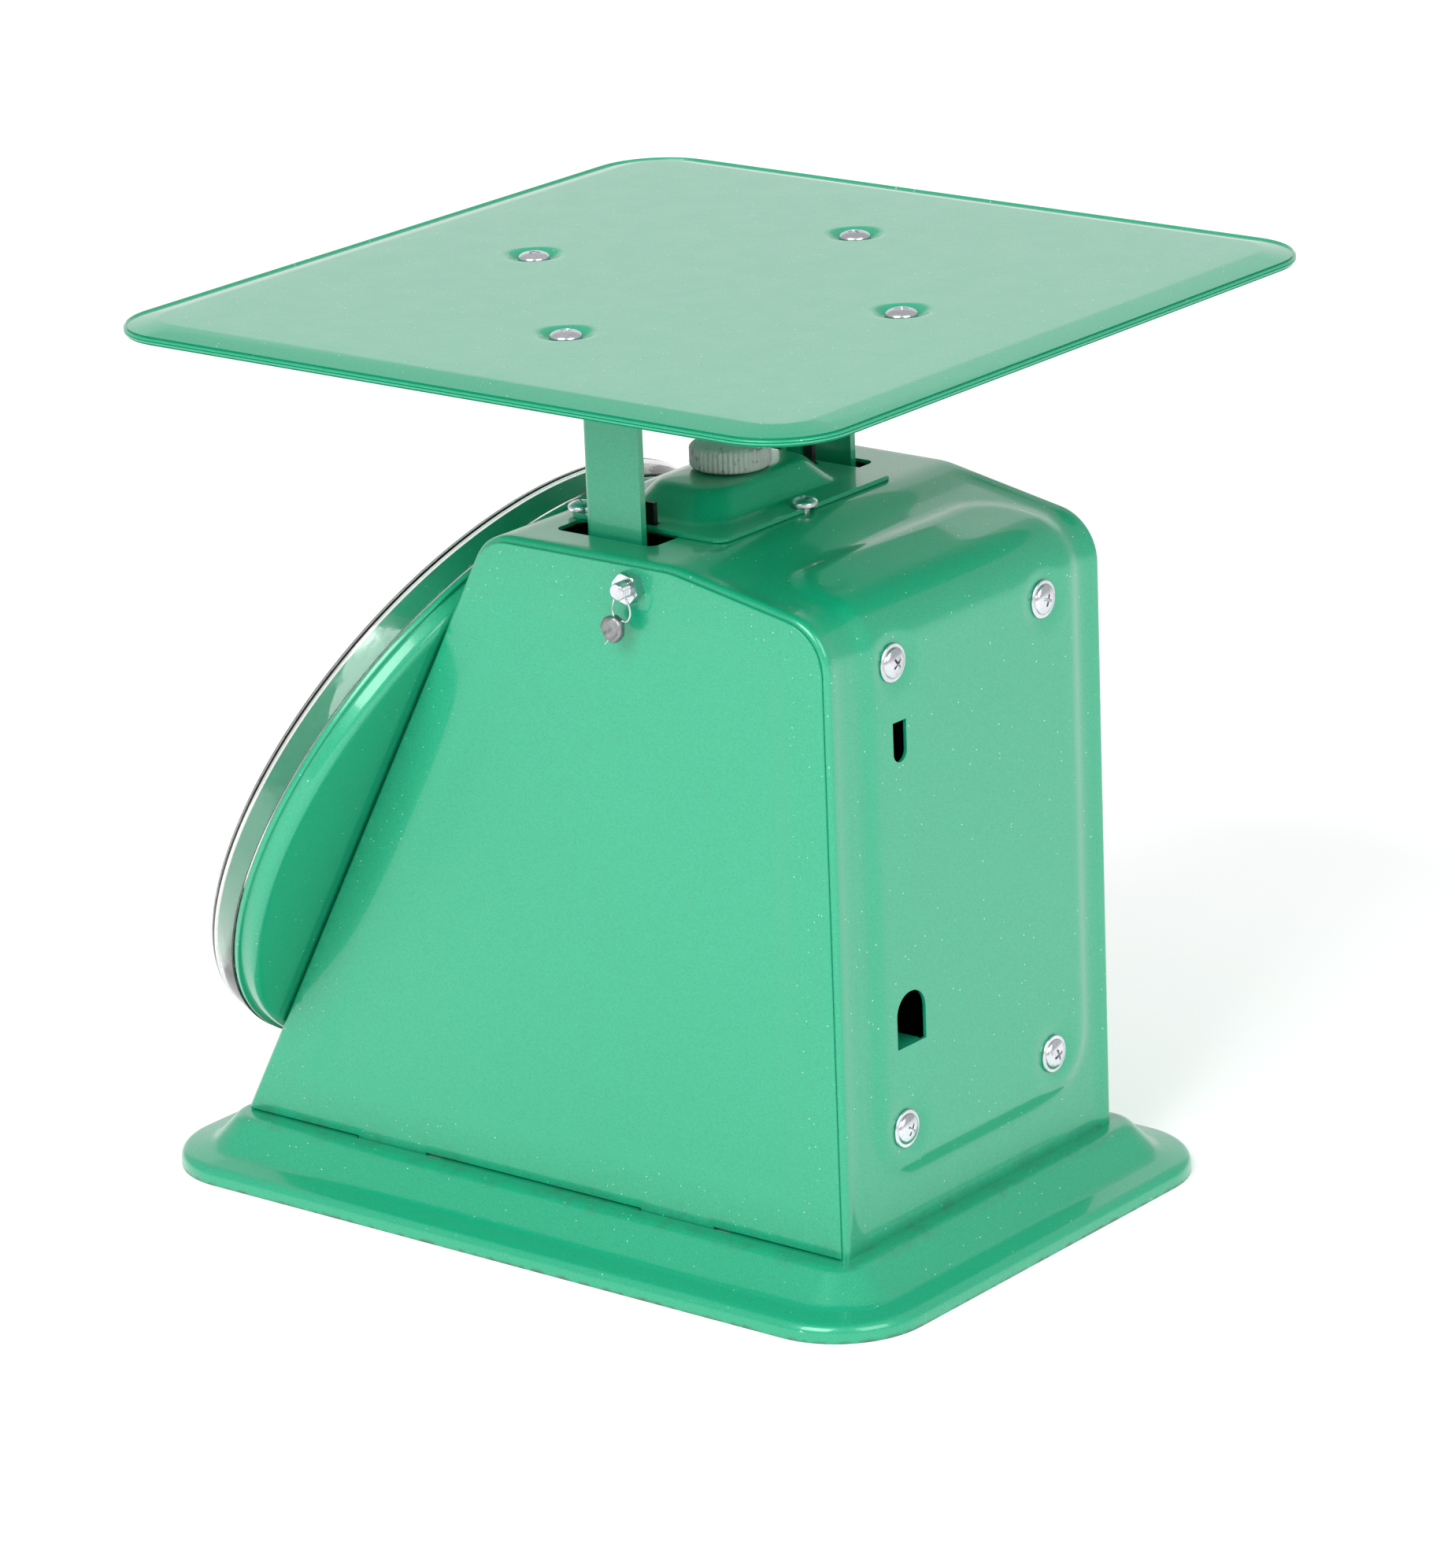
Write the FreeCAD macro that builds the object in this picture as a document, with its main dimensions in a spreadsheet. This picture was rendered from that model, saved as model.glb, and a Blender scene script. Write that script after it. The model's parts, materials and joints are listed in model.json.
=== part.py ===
import FreeCAD, Part
import math
import os

import Sketcher

# Mechanical dial platform scale: a tilted dial, two extension springs and a pressed steel case.
# Frame: millimetres, +Z up. The origin is the centre of the base's underside. The dial faces -Y,
# the operator stands at -Y, and +X is on the operator's right.

V = FreeCAD.Vector
doc = FreeCAD.newDocument("dial_platform_scale")
sheet = doc.addObject("Spreadsheet::Sheet", "dims")


class Size:
    """A length or angle: its expression in the sheet's aliases, and its value."""

    def __init__(self, text, value):
        self.text = text
        self.value = value

    def __add__(self, other):
        other = size_of(other)
        return Size(f"({self.text} + {other.text})", self.value + other.value)

    def __sub__(self, other):
        other = size_of(other)
        return Size(f"({self.text} - {other.text})", self.value - other.value)

    def __mul__(self, other):
        other = size_of(other)
        return Size(f"({self.text} * {other.text})", self.value * other.value)

    def __truediv__(self, other):
        other = size_of(other)
        return Size(f"({self.text} / {other.text})", self.value / other.value)

    def __radd__(self, other):
        return size_of(other) + self

    def __rsub__(self, other):
        return size_of(other) - self

    def __rmul__(self, other):
        return size_of(other) * self

    def __neg__(self):
        return Size(f"(-{self.text})", -self.value)


def size_of(value):
    """A Size as it is, and a plain number as a Size."""
    return value if isinstance(value, Size) else Size(f"{float(value)!r}", float(value))


def sine(angle):
    return Size(f"sin({angle.text})", math.sin(math.radians(angle.value)))


def cosine(angle):
    return Size(f"cos({angle.text})", math.cos(math.radians(angle.value)))


def tangent(angle):
    return Size(f"tan({angle.text})", math.tan(math.radians(angle.value)))


# ---------------------------------------------------------------- driving dimensions
DIMENSIONS = {
    "sheet_steel": 1.0,
    # base pan
    "base_width": 176.8,
    "base_depth": 264.2,
    "base_corner": 27.0,
    "base_rim": 5.0,
    "plinth_height": 15.0,
    # case
    "hood_width": 126.8,
    "hood_top": 206.2,
    "hood_back": 109.0,
    "crease_y": 56.8,
    "rear_slope": 10.8,
    "shoulder": 1.5,
    "front_corner": 14.0,
    "plate_inset": 1.6,
    "flange_width": 13.0,
    # dial
    "dial_tilt": 28.3,
    "dial_y": -61.4,
    "dial_z": 110.0,
    "dish_radius": 99.4,
    "cover_radius": 101.3,
    "cover_back": 7.2,
    "cover_front": 17.3,
    # platform and its carriage
    "platform_size": 245.0,
    "platform_top": 267.9,
    "platform_y": 24.5,
    "platform_corner": 22.0,
    "platform_sheet": 1.2,
    "screw_circle": 65.0,
    "strip_width": 20.4,
    "strip_thick": 2.5,
    "arm_x": 48.7,
    "arm_thick": 2.2,
    "arm_flange": 8.5,
    "travel": 20.0,
    # spring suspension
    "spring_y": 28.0,
    "spring_x": 24.0,
    "spring_radius": 9.0,
    "spring_wire": 1.1,
    "beam_z": 188.0,
    "knob_radius": 11.6,
    # parallel links
    "link_length": 50.0,
    "link_pivot_y": 75.3,
    "upper_pivot_z": 150.0,
    "lower_pivot_z": 80.0,
    # rack and pinion
    "gear_module": 0.4,
    "pinion_teeth": 14,
}

# Places shared by more than one sub-part: hole patterns, and levels in the dial's own frame.
SIDES = (-1, 1)
BRACKET_SCREWS = ((-35.0, 2.2), (35.0, 2.2), (0.0, 53.6))
BACK_SCREW_X = 35.0
BACK_SCREW_Z = (45.0, 180.0)
BASE_SCREW_X = 39.0
BASE_SCREW_Y = (70.0, 100.0)
TAB_SPANS = ((-68.4, -42.8), (36.7, 62.9))
TAB_SLOTS = ((-68.9, -36.9), (36.2, 68.7))
GUIDE_SLOT_X = (34.6, 37.4)
GUIDE_SLOT_HALF = 2.4
STUD_Y = 43.3
STUD_Z = 199.0
STUD_RADIUS = 2.5
SEAL_X = 69.2
CHASSIS_X = 45.5
CHASSIS_SHEET = 2.0
DIAL_SCREWS = tuple((sx * 24.0, sy * 16.0) for sx in SIDES for sy in SIDES)
FACE_SCREWS = ((-70.0, 0.0), (70.0, 0.0), (0.0, -70.0), (0.0, 70.0))
FACE_BACK = 7.4
FACE_SHEET = 0.8
FRAME_FRONT = -1.0
FRAME_REAR = -37.0
FRAME_SHEET = 1.6
SHAFT_RADIUS = 1.5
GUIDE_PIN_X = 12.2
RACK_FRONT = -22.0
RACK_FACE = 2.5
PIN_Y = 25.8
BOLT_Y = (21.5, 30.5)
BOLT_Z = 70.0
ARM_FOOT = 60.0
PLATFORM_DIMPLE = 2.0
SPRING_LOW = 86.0
SPRING_HIGH = 178.0
SPRING_TURNS = 26

D = {}
for row, (alias, number) in enumerate(DIMENSIONS.items(), start=1):
    sheet.set(f"A{row}", alias)
    sheet.set(f"B{row}", str(number))
    sheet.setAlias(f"B{row}", alias)
    D[alias] = Size(f"dims.{alias}", float(number))
doc.recompute()


# ---------------------------------------------------------------- helpers
def bind(obj, prop, value):
    """Sets a property from a Size, through the sheet, or from a plain number."""
    value = size_of(value)
    obj.setExpression(prop, value.text)


def place(obj, x=0, y=0, z=0, axis=None, angle=None):
    """Puts an object at a point of the row frame, turned about an axis."""
    if axis is not None:
        obj.Placement = FreeCAD.Placement(V(0, 0, 0), FreeCAD.Rotation(V(*axis), size_of(angle).value))
        bind(obj, "Placement.Rotation.Angle", angle)
    for name, value in (("x", x), ("y", y), ("z", z)):
        bind(obj, f"Placement.Base.{name}", value)
    return obj


def in_dial_frame(obj, x=0, up=0, out=0):
    """Places an object in the dial's frame: X across, Y up the tilted face, Z out along the pointer shaft."""
    tilt = D["dial_tilt"]
    y = D["dial_y"] + up * sine(tilt) - out * cosine(tilt)
    z = D["dial_z"] + up * cosine(tilt) + out * sine(tilt)
    return place(obj, x, y, z, (1, 0, 0), 90.0 - tilt)


def new_body(label):
    body = doc.addObject("PartDesign::Body", label)
    body.Label = label
    return body


def new_sketch(body, role, offset=0):
    """A sketch on one of the body's own origin planes, moved along its normal."""
    sketch = body.newObject("Sketcher::SketchObject", body.Label + "_sketch")
    plane = [f for f in body.Origin.OriginFeatures if f.Role == role][0]
    sketch.AttachmentSupport = (plane, [""])
    sketch.MapMode = "FlatFace"
    bind(sketch, "AttachmentOffset.Base.z", offset)
    return sketch


def fix_point(sketch, geo, pos, x, y):
    """Holds a sketch point at x, y by constraints bound to the sheet."""
    for kind, value, axis in (("DistanceX", size_of(x), -2), ("DistanceY", size_of(y), -1)):
        if abs(value.value) < 1e-9:
            sketch.addConstraint(Sketcher.Constraint("PointOnObject", geo, pos, axis))
        else:
            index = sketch.addConstraint(Sketcher.Constraint(kind, -1, 1, geo, pos, value.value))
            sketch.setExpression(f"Constraints[{index}]", value.text)


def heading(direction):
    """Angle of a direction in the sketch, in radians."""
    return math.atan2(direction.y, direction.x)


def add_outline(sketch, corners):
    """Closed outline of straight lines. A corner is (x, y) or (x, y, radius), and a radius makes an arc."""
    count = len(corners)
    points = [V(size_of(c[0]).value, size_of(c[1]).value, 0) for c in corners]
    radii = [size_of(c[2]) if len(c) > 2 else None for c in corners]
    arcs = {}
    ends = []
    for i in range(count):
        if radii[i] is None:
            ends.append((points[i], points[i]))
            continue
        back = (points[i - 1] - points[i]).normalize()
        ahead = (points[(i + 1) % count] - points[i]).normalize()
        half = back.getAngle(ahead) / 2
        reach = radii[i].value / math.tan(half)
        centre = points[i] + (back + ahead).normalize() * (radii[i].value / math.sin(half))
        ends.append((points[i] + back * reach, points[i] + ahead * reach))
        turns_left = ahead.cross(back).z > 0
        first, last = ends[i] if turns_left else reversed(ends[i])
        circle = Part.Circle(centre, V(0, 0, 1), radii[i].value)
        arc = Part.ArcOfCircle(circle, heading(first - centre), heading(last - centre))
        arcs[i] = (arc, 1 if turns_left else 2)
    marks = [sketch.addGeometry(Part.Point(p), True) for p in points]
    lines = []
    for i in range(count):
        segment = Part.LineSegment(ends[i][1], ends[(i + 1) % count][0])
        lines.append(sketch.addGeometry(segment, False))
    for i in range(count):
        fix_point(sketch, marks[i], 1, corners[i][0], corners[i][1])
        before = lines[i - 1]
        if radii[i] is None:
            sketch.addConstraint(Sketcher.Constraint("Coincident", before, 2, marks[i], 1))
            sketch.addConstraint(Sketcher.Constraint("Coincident", lines[i], 1, marks[i], 1))
            continue
        arc = sketch.addGeometry(arcs[i][0], False)
        first = arcs[i][1]
        sketch.addConstraint(Sketcher.Constraint("PointOnObject", marks[i], 1, before))
        sketch.addConstraint(Sketcher.Constraint("PointOnObject", marks[i], 1, lines[i]))
        sketch.addConstraint(Sketcher.Constraint("Tangent", before, 2, arc, first))
        sketch.addConstraint(Sketcher.Constraint("Tangent", lines[i], 1, arc, 3 - first))
        index = sketch.addConstraint(Sketcher.Constraint("Radius", arc, radii[i].value))
        sketch.setExpression(f"Constraints[{index}]", radii[i].text)


def add_circle(sketch, x, y, radius):
    radius = size_of(radius)
    centre = V(size_of(x).value, size_of(y).value, 0)
    geo = sketch.addGeometry(Part.Circle(centre, V(0, 0, 1), radius.value), False)
    fix_point(sketch, geo, 3, x, y)
    index = sketch.addConstraint(Sketcher.Constraint("Radius", geo, radius.value))
    sketch.setExpression(f"Constraints[{index}]", radius.text)


def rectangle(x0, x1, y0, y1, radius=None):
    """Corners of a rectangle, for add_outline."""
    corners = [(x0, y0), (x1, y0), (x1, y1), (x0, y1)]
    return corners if radius is None else [c + (radius,) for c in corners]


def pad(body, role, start, length, outlines=(), circles=(), symmetric=False, kind="PartDesign::Pad"):
    """Pads or pockets outlines and circles, from start along the plane's normal."""
    sketch = new_sketch(body, role, start)
    for corners in outlines:
        add_outline(sketch, corners)
    for circle in circles:
        add_circle(sketch, *circle)
    before = body.Shape.Volume if body.Tip else 0.0
    feature = body.newObject(kind, body.Label + "_feature")
    feature.Profile = sketch
    bind(feature, "Length", length)
    feature.Midplane = symmetric
    doc.recompute()
    changed = abs(body.Shape.Volume - before)
    if changed < 1e-3:
        raise RuntimeError(f"{body.Label}: {kind} changed nothing")
    return feature


def pocket(body, role, start, length, outlines=(), circles=(), symmetric=False):
    """Cuts outlines and circles, from start against the plane's normal."""
    return pad(body, role, start, length, outlines, circles, symmetric, "PartDesign::Pocket")


def revolve(body, corners):
    """A full turn, about the body's Z axis, of an outline given as (radius, height)."""
    sketch = new_sketch(body, "XZ_Plane")
    add_outline(sketch, corners)
    feature = body.newObject("PartDesign::Revolution", body.Label + "_turned")
    feature.Profile = sketch
    feature.ReferenceAxis = (sketch, ["V_Axis"])
    feature.Angle = 360
    doc.recompute()
    return feature


def pipe_round(body, width, depth, corner, section):
    """Sweeps a section (y, z), drawn at the front edge, round a rounded rectangle."""
    path = new_sketch(body, "XY_Plane")
    half_w = width / 2
    half_d = depth / 2
    corners = [(half_w, half_d, corner), (-half_w, half_d, corner), (-half_w, -half_d, corner)]
    add_outline(path, [(0, -half_d), (half_w, -half_d, corner)] + corners)
    profile = new_sketch(body, "YZ_Plane")
    add_outline(profile, section)
    feature = body.newObject("PartDesign::AdditivePipe", body.Label + "_sweep")
    feature.Profile = profile
    feature.Spine = (path, [])
    doc.recompute()
    return feature


def fillet(body, radius, wanted):
    """Rounds the edges of the body's last shape whose middle point passes the test."""
    base = body.Tip
    names = []
    for i, edge in enumerate(base.Shape.Edges, start=1):
        middle = edge.valueAt((edge.FirstParameter + edge.LastParameter) / 2)
        if wanted(middle, edge):
            names.append(f"Edge{i}")
    feature = body.newObject("PartDesign::Fillet", body.Label + "_round")
    feature.Base = (base, names)
    bind(feature, "Radius", radius)
    doc.recompute()
    return feature


TURNS = {"X": ((0, 1, 0), 90.0), "Y": ((1, 0, 0), -90.0), "Z": ((0, 0, 1), 0.0), "-Y": ((1, 0, 0), 90.0)}


def rod(label, radius, length, x, y, z, along="Z", flats=None):
    """A Part::Cylinder, or a Part::Prism with six flats, starting at a point and running along an axis."""
    kind = "Part::Cylinder" if flats is None else "Part::Prism"
    made = doc.addObject(kind, label)
    if flats is None:
        bind(made, "Radius", radius)
    else:
        made.Polygon = flats
        bind(made, "Circumradius", radius)
    bind(made, "Height", length)
    axis, angle = TURNS[along]
    return place(made, x, y, z, axis, angle)


def joined(label, pieces):
    """One solid made of touching pieces."""
    made = doc.addObject("Part::MultiFuse", label)
    made.Shapes = pieces
    made.Label = label
    return made


def group(label, pieces):
    """Identical fasteners, as a group of separate solids."""
    made = doc.addObject("Part::Compound", label)
    made.Links = pieces
    made.Label = label
    return made


def cut(label, base, tools):
    made = doc.addObject("Part::Cut", label)
    made.Base = base
    if len(tools) == 1:
        made.Tool = tools[0]
    else:
        both = doc.addObject("Part::MultiFuse", label + "_tools")
        both.Shapes = tools
        made.Tool = both
    made.Label = label
    return made


NODES = {}


def node(obj, name=None):
    """Keeps an object as a sub-part, under its label."""
    if name is not None:
        obj.Label = name
    NODES[obj.Label] = obj
    return obj


def pan_screw(label, x, y, z, along, head_radius, head_height, shank_radius, shank_length):
    """Pan head screw with a cross recess. Its seat is at the point and its head stands along the axis."""
    axis, angle = TURNS[along]
    body = new_body(label)
    crown = head_height * 0.45
    corners = [(0, -shank_length), (shank_radius, -shank_length), (shank_radius, 0), (head_radius, 0)]
    corners += [(head_radius, head_height - crown), (head_radius * 0.62, head_height), (0, head_height)]
    revolve(body, corners)
    arm = head_radius * 0.5
    slot = head_radius * 0.11
    deep = head_height * 0.6
    for across, along_y in ((arm, slot), (slot, arm)):
        cross = rectangle(-across, across, -along_y, along_y)
        pocket(body, "XY_Plane", head_height, deep, [cross])
    return place(body, x, y, z, axis, angle)


# ---------------------------------------------------------------- base pan
def make_base_pan():
    """Pressed pan: a rounded rim on the table, a narrow flange, a sloping wall and the plinth."""
    body = new_body("base_pan")
    steel = D["sheet_steel"]
    rim = D["base_rim"]
    top = D["plinth_height"]
    edge = D["base_depth"] / 2
    inner = edge - 25.0
    overlap = 24.9
    section = [
        (-edge, 0),
        (-edge, rim, 3.0),
        (9.5 - edge, rim + 1.2, 5.0),
        (18.0 - edge, top, 4.0),
        (-inner, top),
        (-inner, top - steel),
        (17.6 - edge, top - steel, 3.0),
        (9.1 - edge, rim + 0.2, 6.0),
        (steel - edge, rim - 0.9, 2.0),
        (steel - edge, 0),
    ]
    pipe_round(body, D["base_width"], D["base_depth"], D["base_corner"], section)
    half_w = D["base_width"] / 2 - overlap
    deck = rectangle(-half_w, half_w, overlap - edge, edge - overlap, D["base_corner"] - overlap)
    pad(body, "XY_Plane", top - steel, steel, [deck])
    slots = []
    outer = D["hood_width"] / 2
    for side in SIDES:
        for low, high in TAB_SLOTS:
            near = side * (outer - 0.6)
            far = side * (outer + 1.6)
            slots.append(rectangle(near, far, low, high))
    holes = [(side * BASE_SCREW_X, y, 2.5) for side in SIDES for y in BASE_SCREW_Y]
    pocket(body, "XY_Plane", top + 1.0, 4.0, slots, holes)
    node(body)


# ---------------------------------------------------------------- hood
def case_profile(inset, bottom, rounding, top_drop=None):
    """Side profile (y, z) of the case, moved in by inset, down to the height bottom."""
    drop = inset if top_drop is None else top_drop
    tilt = D["dial_tilt"]
    top = D["hood_top"] - drop
    rear = D["hood_back"] - inset
    slope = tangent(D["rear_slope"])

    def front(height):
        return D["dial_y"] + (height - D["dial_z"]) * tangent(tilt) + inset / cosine(tilt)

    rear_top = top - (rear - D["crease_y"]) * slope
    front_round = D["front_corner"] - drop
    return [
        (front(size_of(bottom)), bottom),
        (front(top), top, front_round),
        (D["crease_y"], top, 30.0),
        (rear, rear_top, rounding),
        (rear, bottom),
    ]


def make_hood():
    """One wrapped sheet: sloping front, top, rear slope and back, with narrow side flanges."""
    body = new_body("hood_sheet")
    steel = D["sheet_steel"]
    width = D["hood_width"]
    base = D["plinth_height"]
    pad(body, "YZ_Plane", 0, width, [case_profile(size_of(0), base, 15.0)], symmetric=True)
    half = width.value / 2

    def is_shoulder(point, edge):
        return abs(abs(point.x) - half) < 1e-3 and point.z > base.value + 0.5

    fillet(body, D["shoulder"], is_shoulder)
    pocket(body, "YZ_Plane", 0, width - 2 * steel, [case_profile(steel, base - 4.0, 14.0)], symmetric=True)
    window = case_profile(D["flange_width"], base + 14.0, 6.0)
    pocket(body, "YZ_Plane", 0, width + 4.0, [window], [(STUD_Y, STUD_Z, STUD_RADIUS)], symmetric=True)
    arm = D["arm_x"]
    middle = D["spring_y"]
    guide_in, guide_out = GUIDE_SLOT_X
    holes = []
    for side in SIDES:
        holes.append(rectangle(side * 37.5, side * (arm + 2.1), 5.0, 40.2, 3.0))
        guide = (middle - GUIDE_SLOT_HALF, middle + GUIDE_SLOT_HALF)
        holes.append(rectangle(side * guide_in, side * guide_out, *guide))
    rounds = [(0, middle, 6.0)]
    rounds += [(x, y, 2.0) for x, y in BRACKET_SCREWS]
    pocket(body, "XY_Plane", D["hood_top"] + 2.0, 8.0, holes, rounds)
    back_slot = [(-36.2, 151.3, 2.9), (-30.2, 151.3, 2.9), (-30.2, 163.0), (-36.2, 163.0)]
    arch = [(-38.3, 69.0), (-25.2, 69.0), (-25.2, 84.6, 6.3), (-38.3, 84.6, 6.3)]
    mirrored = [[(-c[0],) + c[1:] for c in outline] for outline in (back_slot, arch)]
    screws = [(side * BACK_SCREW_X, z, 2.0) for side in SIDES for z in BACK_SCREW_Z]
    pocket(body, "XZ_Plane", 4.0 - D["hood_back"], 8.0, mirrored, screws)
    drills = [rod("bush_drill", 4.0, 6.0, 0, 0, 0)]
    drills += [rod("dial_drill", 2.0, 6.0, 0, 0, 0) for corner in DIAL_SCREWS]
    for drill, (x, up) in zip(drills, ((0.0, 0.0),) + DIAL_SCREWS):
        in_dial_frame(drill, x, up, -3.0)
    node(cut("hood", body, drills))


def make_side_plates():
    """Two flat plates over the hood's flanges. Two tabs on each hook into slots in the base."""
    steel = D["sheet_steel"]
    base = D["plinth_height"]
    for side, name in ((1, "side_plate_right"), (-1, "side_plate_left")):
        body = new_body(name)
        start = D["hood_width"] / 2 if side > 0 else -D["hood_width"] / 2 - steel
        profile = case_profile(D["plate_inset"], base + 0.4, 14.0)
        pad(body, "YZ_Plane", start, steel, [profile])
        tabs = [rectangle(low, high, base - 3.0, base + 0.5) for low, high in TAB_SPANS]
        pad(body, "YZ_Plane", start, steel, tabs)
        pocket(body, "YZ_Plane", start + 3.0, 6.0, circles=[(STUD_Y, STUD_Z, STUD_RADIUS)])
        node(body)


# ---------------------------------------------------------------- chassis inside the case
def make_chassis():
    """Two upright side plates on the base, joined by two straps that the back screws pull on."""
    base = D["plinth_height"]
    strap_y = 104.4
    for side, name in ((1, "chassis_side_right"), (-1, "chassis_side_left")):
        body = new_body(name)
        inner = CHASSIS_X if side > 0 else -CHASSIS_X - CHASSIS_SHEET
        front = 64.0
        plate = rectangle(front, strap_y, base, 190.0)
        pivots = [(D["link_pivot_y"], z, 3.0) for z in (D["upper_pivot_z"], D["lower_pivot_z"])]
        pad(body, "YZ_Plane", inner, CHASSIS_SHEET, [plate], pivots)
        foot_in = side * 31.0
        foot = rectangle(foot_in, side * (CHASSIS_X + 1.0), front, strap_y)
        pad(body, "XY_Plane", base, CHASSIS_SHEET, [foot])
        holes = [(side * BASE_SCREW_X, y, 2.5) for y in BASE_SCREW_Y]
        pocket(body, "XY_Plane", base + 2.5, 3.0, circles=holes)
        node(body)
    for name, low, high in (("chassis_upper_strap", 172.0, 190.0), ("chassis_lower_strap", 36.0, 54.0)):
        body = new_body(name)
        reach = CHASSIS_X + CHASSIS_SHEET
        middle = BACK_SCREW_Z[1] if low > 100.0 else BACK_SCREW_Z[0]
        holes = [(side * BACK_SCREW_X, middle, 2.0) for side in SIDES]
        strap = rectangle(-reach, reach, low, high)
        pad(body, "XZ_Plane", -strap_y - CHASSIS_SHEET, CHASSIS_SHEET, [strap], holes)
        node(body)
    spacers = []
    for side in SIDES:
        for z in BACK_SCREW_Z:
            washer = rod("spacer", 4.0, 1.6, side * BACK_SCREW_X, 106.4, z, "Y")
            bore = rod("spacer_bore", 2.0, 4.0, side * BACK_SCREW_X, 105.0, z, "Y")
            spacers.append(cut("spacer_ring", washer, [bore]))
    node(group("back_spacers", spacers))


# ---------------------------------------------------------------- top bracket
def make_top_bracket():
    """Pressed plate on the hood, with a raised hat in the middle that the knob bears on."""
    body = new_body("top_bracket")
    top = D["hood_top"]
    thick = 1.4
    middle = D["spring_y"]
    half_wide = 39.5
    half_deep = 27.5
    plate = rectangle(-half_wide, half_wide, middle - half_deep, middle + half_deep, 4.0)
    pad(body, "XY_Plane", top, thick, [plate])
    levels = ((thick - 0.2, 30.0, 17.5, 8.0), (9.0, 20.0, 10.5, 6.0))
    for shrink, kind in ((0.0, "PartDesign::AdditiveLoft"), (1.3, "PartDesign::SubtractiveLoft")):
        sketches = []
        for height, half_x, half_y, corner in levels:
            level = height - shrink
            sketch = new_sketch(body, "XY_Plane", top + level)
            x = half_x - shrink
            y = half_y - shrink
            add_outline(sketch, rectangle(-x, x, middle - y, middle + y, corner - shrink))
            sketches.append(sketch)
        loft = body.newObject(kind, "top_bracket_hat")
        loft.Profile = sketches[0]
        loft.Sections = [sketches[1]]
        loft.Ruled = True
        doc.recompute()
    x = 28.7
    y = 16.2
    pocket(body, "XY_Plane", top + 0.4, 2.0, [rectangle(-x, x, middle - y, middle + y, 6.7)])
    guide_in, guide_out = GUIDE_SLOT_X
    guide = (middle - GUIDE_SLOT_HALF, middle + GUIDE_SLOT_HALF)
    slots = [rectangle(s * guide_in, s * guide_out, *guide) for s in SIDES]
    notches = []
    notch_half = 2.2
    for x, y in BRACKET_SCREWS:
        outward = 1.0 if y > middle.value else -1.0
        low, high = sorted((y - outward * notch_half, y + outward * 8.0))
        notches.append(rectangle(x - notch_half, x + notch_half, low, high))
    pocket(body, "XY_Plane", top + 12.0, 14.0, slots + notches, [(0, middle, 3.4)])
    node(body)
    screws = []
    for x, y in BRACKET_SCREWS:
        screws.append(pan_screw("bracket_screw", x, y, top + thick, "Z", 3.9, 2.6, 2.0, 7.0))
    node(group("bracket_screws", screws))


def make_case_screws():
    """Four washer head screws in the back, and four screws up through the base into the chassis feet."""
    back = []
    for side in SIDES:
        for z in BACK_SCREW_Z:
            back.append(pan_screw("back_screw", side * BACK_SCREW_X, D["hood_back"], z, "Y", 5.5, 2.4, 2.0, 8.0))
    node(group("back_screws", back))
    under = []
    seat = D["plinth_height"] - D["sheet_steel"]
    for side in SIDES:
        for y in BASE_SCREW_Y:
            screw = pan_screw("base_screw", side * BASE_SCREW_X, y, seat, "Z", 4.6, 2.6, 2.5, 6.0)
            place(screw, side * BASE_SCREW_X, y, seat, (1, 0, 0), 180.0)
            under.append(screw)
    node(group("base_screws", under))


# ---------------------------------------------------------------- stud, nut and lead seal
def make_studs_and_seal():
    """A stud and nut hold each side plate. The right one is drilled for the wire of a lead seal."""
    for side, name in ((1, "right"), (-1, "left")):
        start = 60.5 if side > 0 else -71.2
        stud = rod("stud_blank", STUD_RADIUS, 10.7, start, STUD_Y, STUD_Z, "X")
        if side > 0:
            eye = rod("stud_eye", 1.3, 8.0, SEAL_X, STUD_Y - 4.0, STUD_Z, "Y")
            node(cut("right_stud", stud, [eye]))
        else:
            node(stud, "left_stud")
        face = 64.4 if side > 0 else -67.8
        nut = rod("nut_blank", 4.62, 3.4, face, STUD_Y, STUD_Z, "X", 6)
        bore = rod("nut_bore", STUD_RADIUS, 8.0, face - 2.0, STUD_Y, STUD_Z, "X")
        node(cut(name + "_nut", nut, [bore]))
    loop_radius = 4.9
    ring = doc.addObject("Part::Torus", "seal_wire")
    bind(ring, "Radius1", loop_radius)
    bind(ring, "Radius2", 0.4)
    node(place(ring, SEAL_X, STUD_Y, STUD_Z - loop_radius, (0, 1, 0), 90.0))
    node(rod("lead_seal", 3.8, 3.0, SEAL_X - 1.5, STUD_Y - 3.2, STUD_Z - 11.2, "X"))


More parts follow.
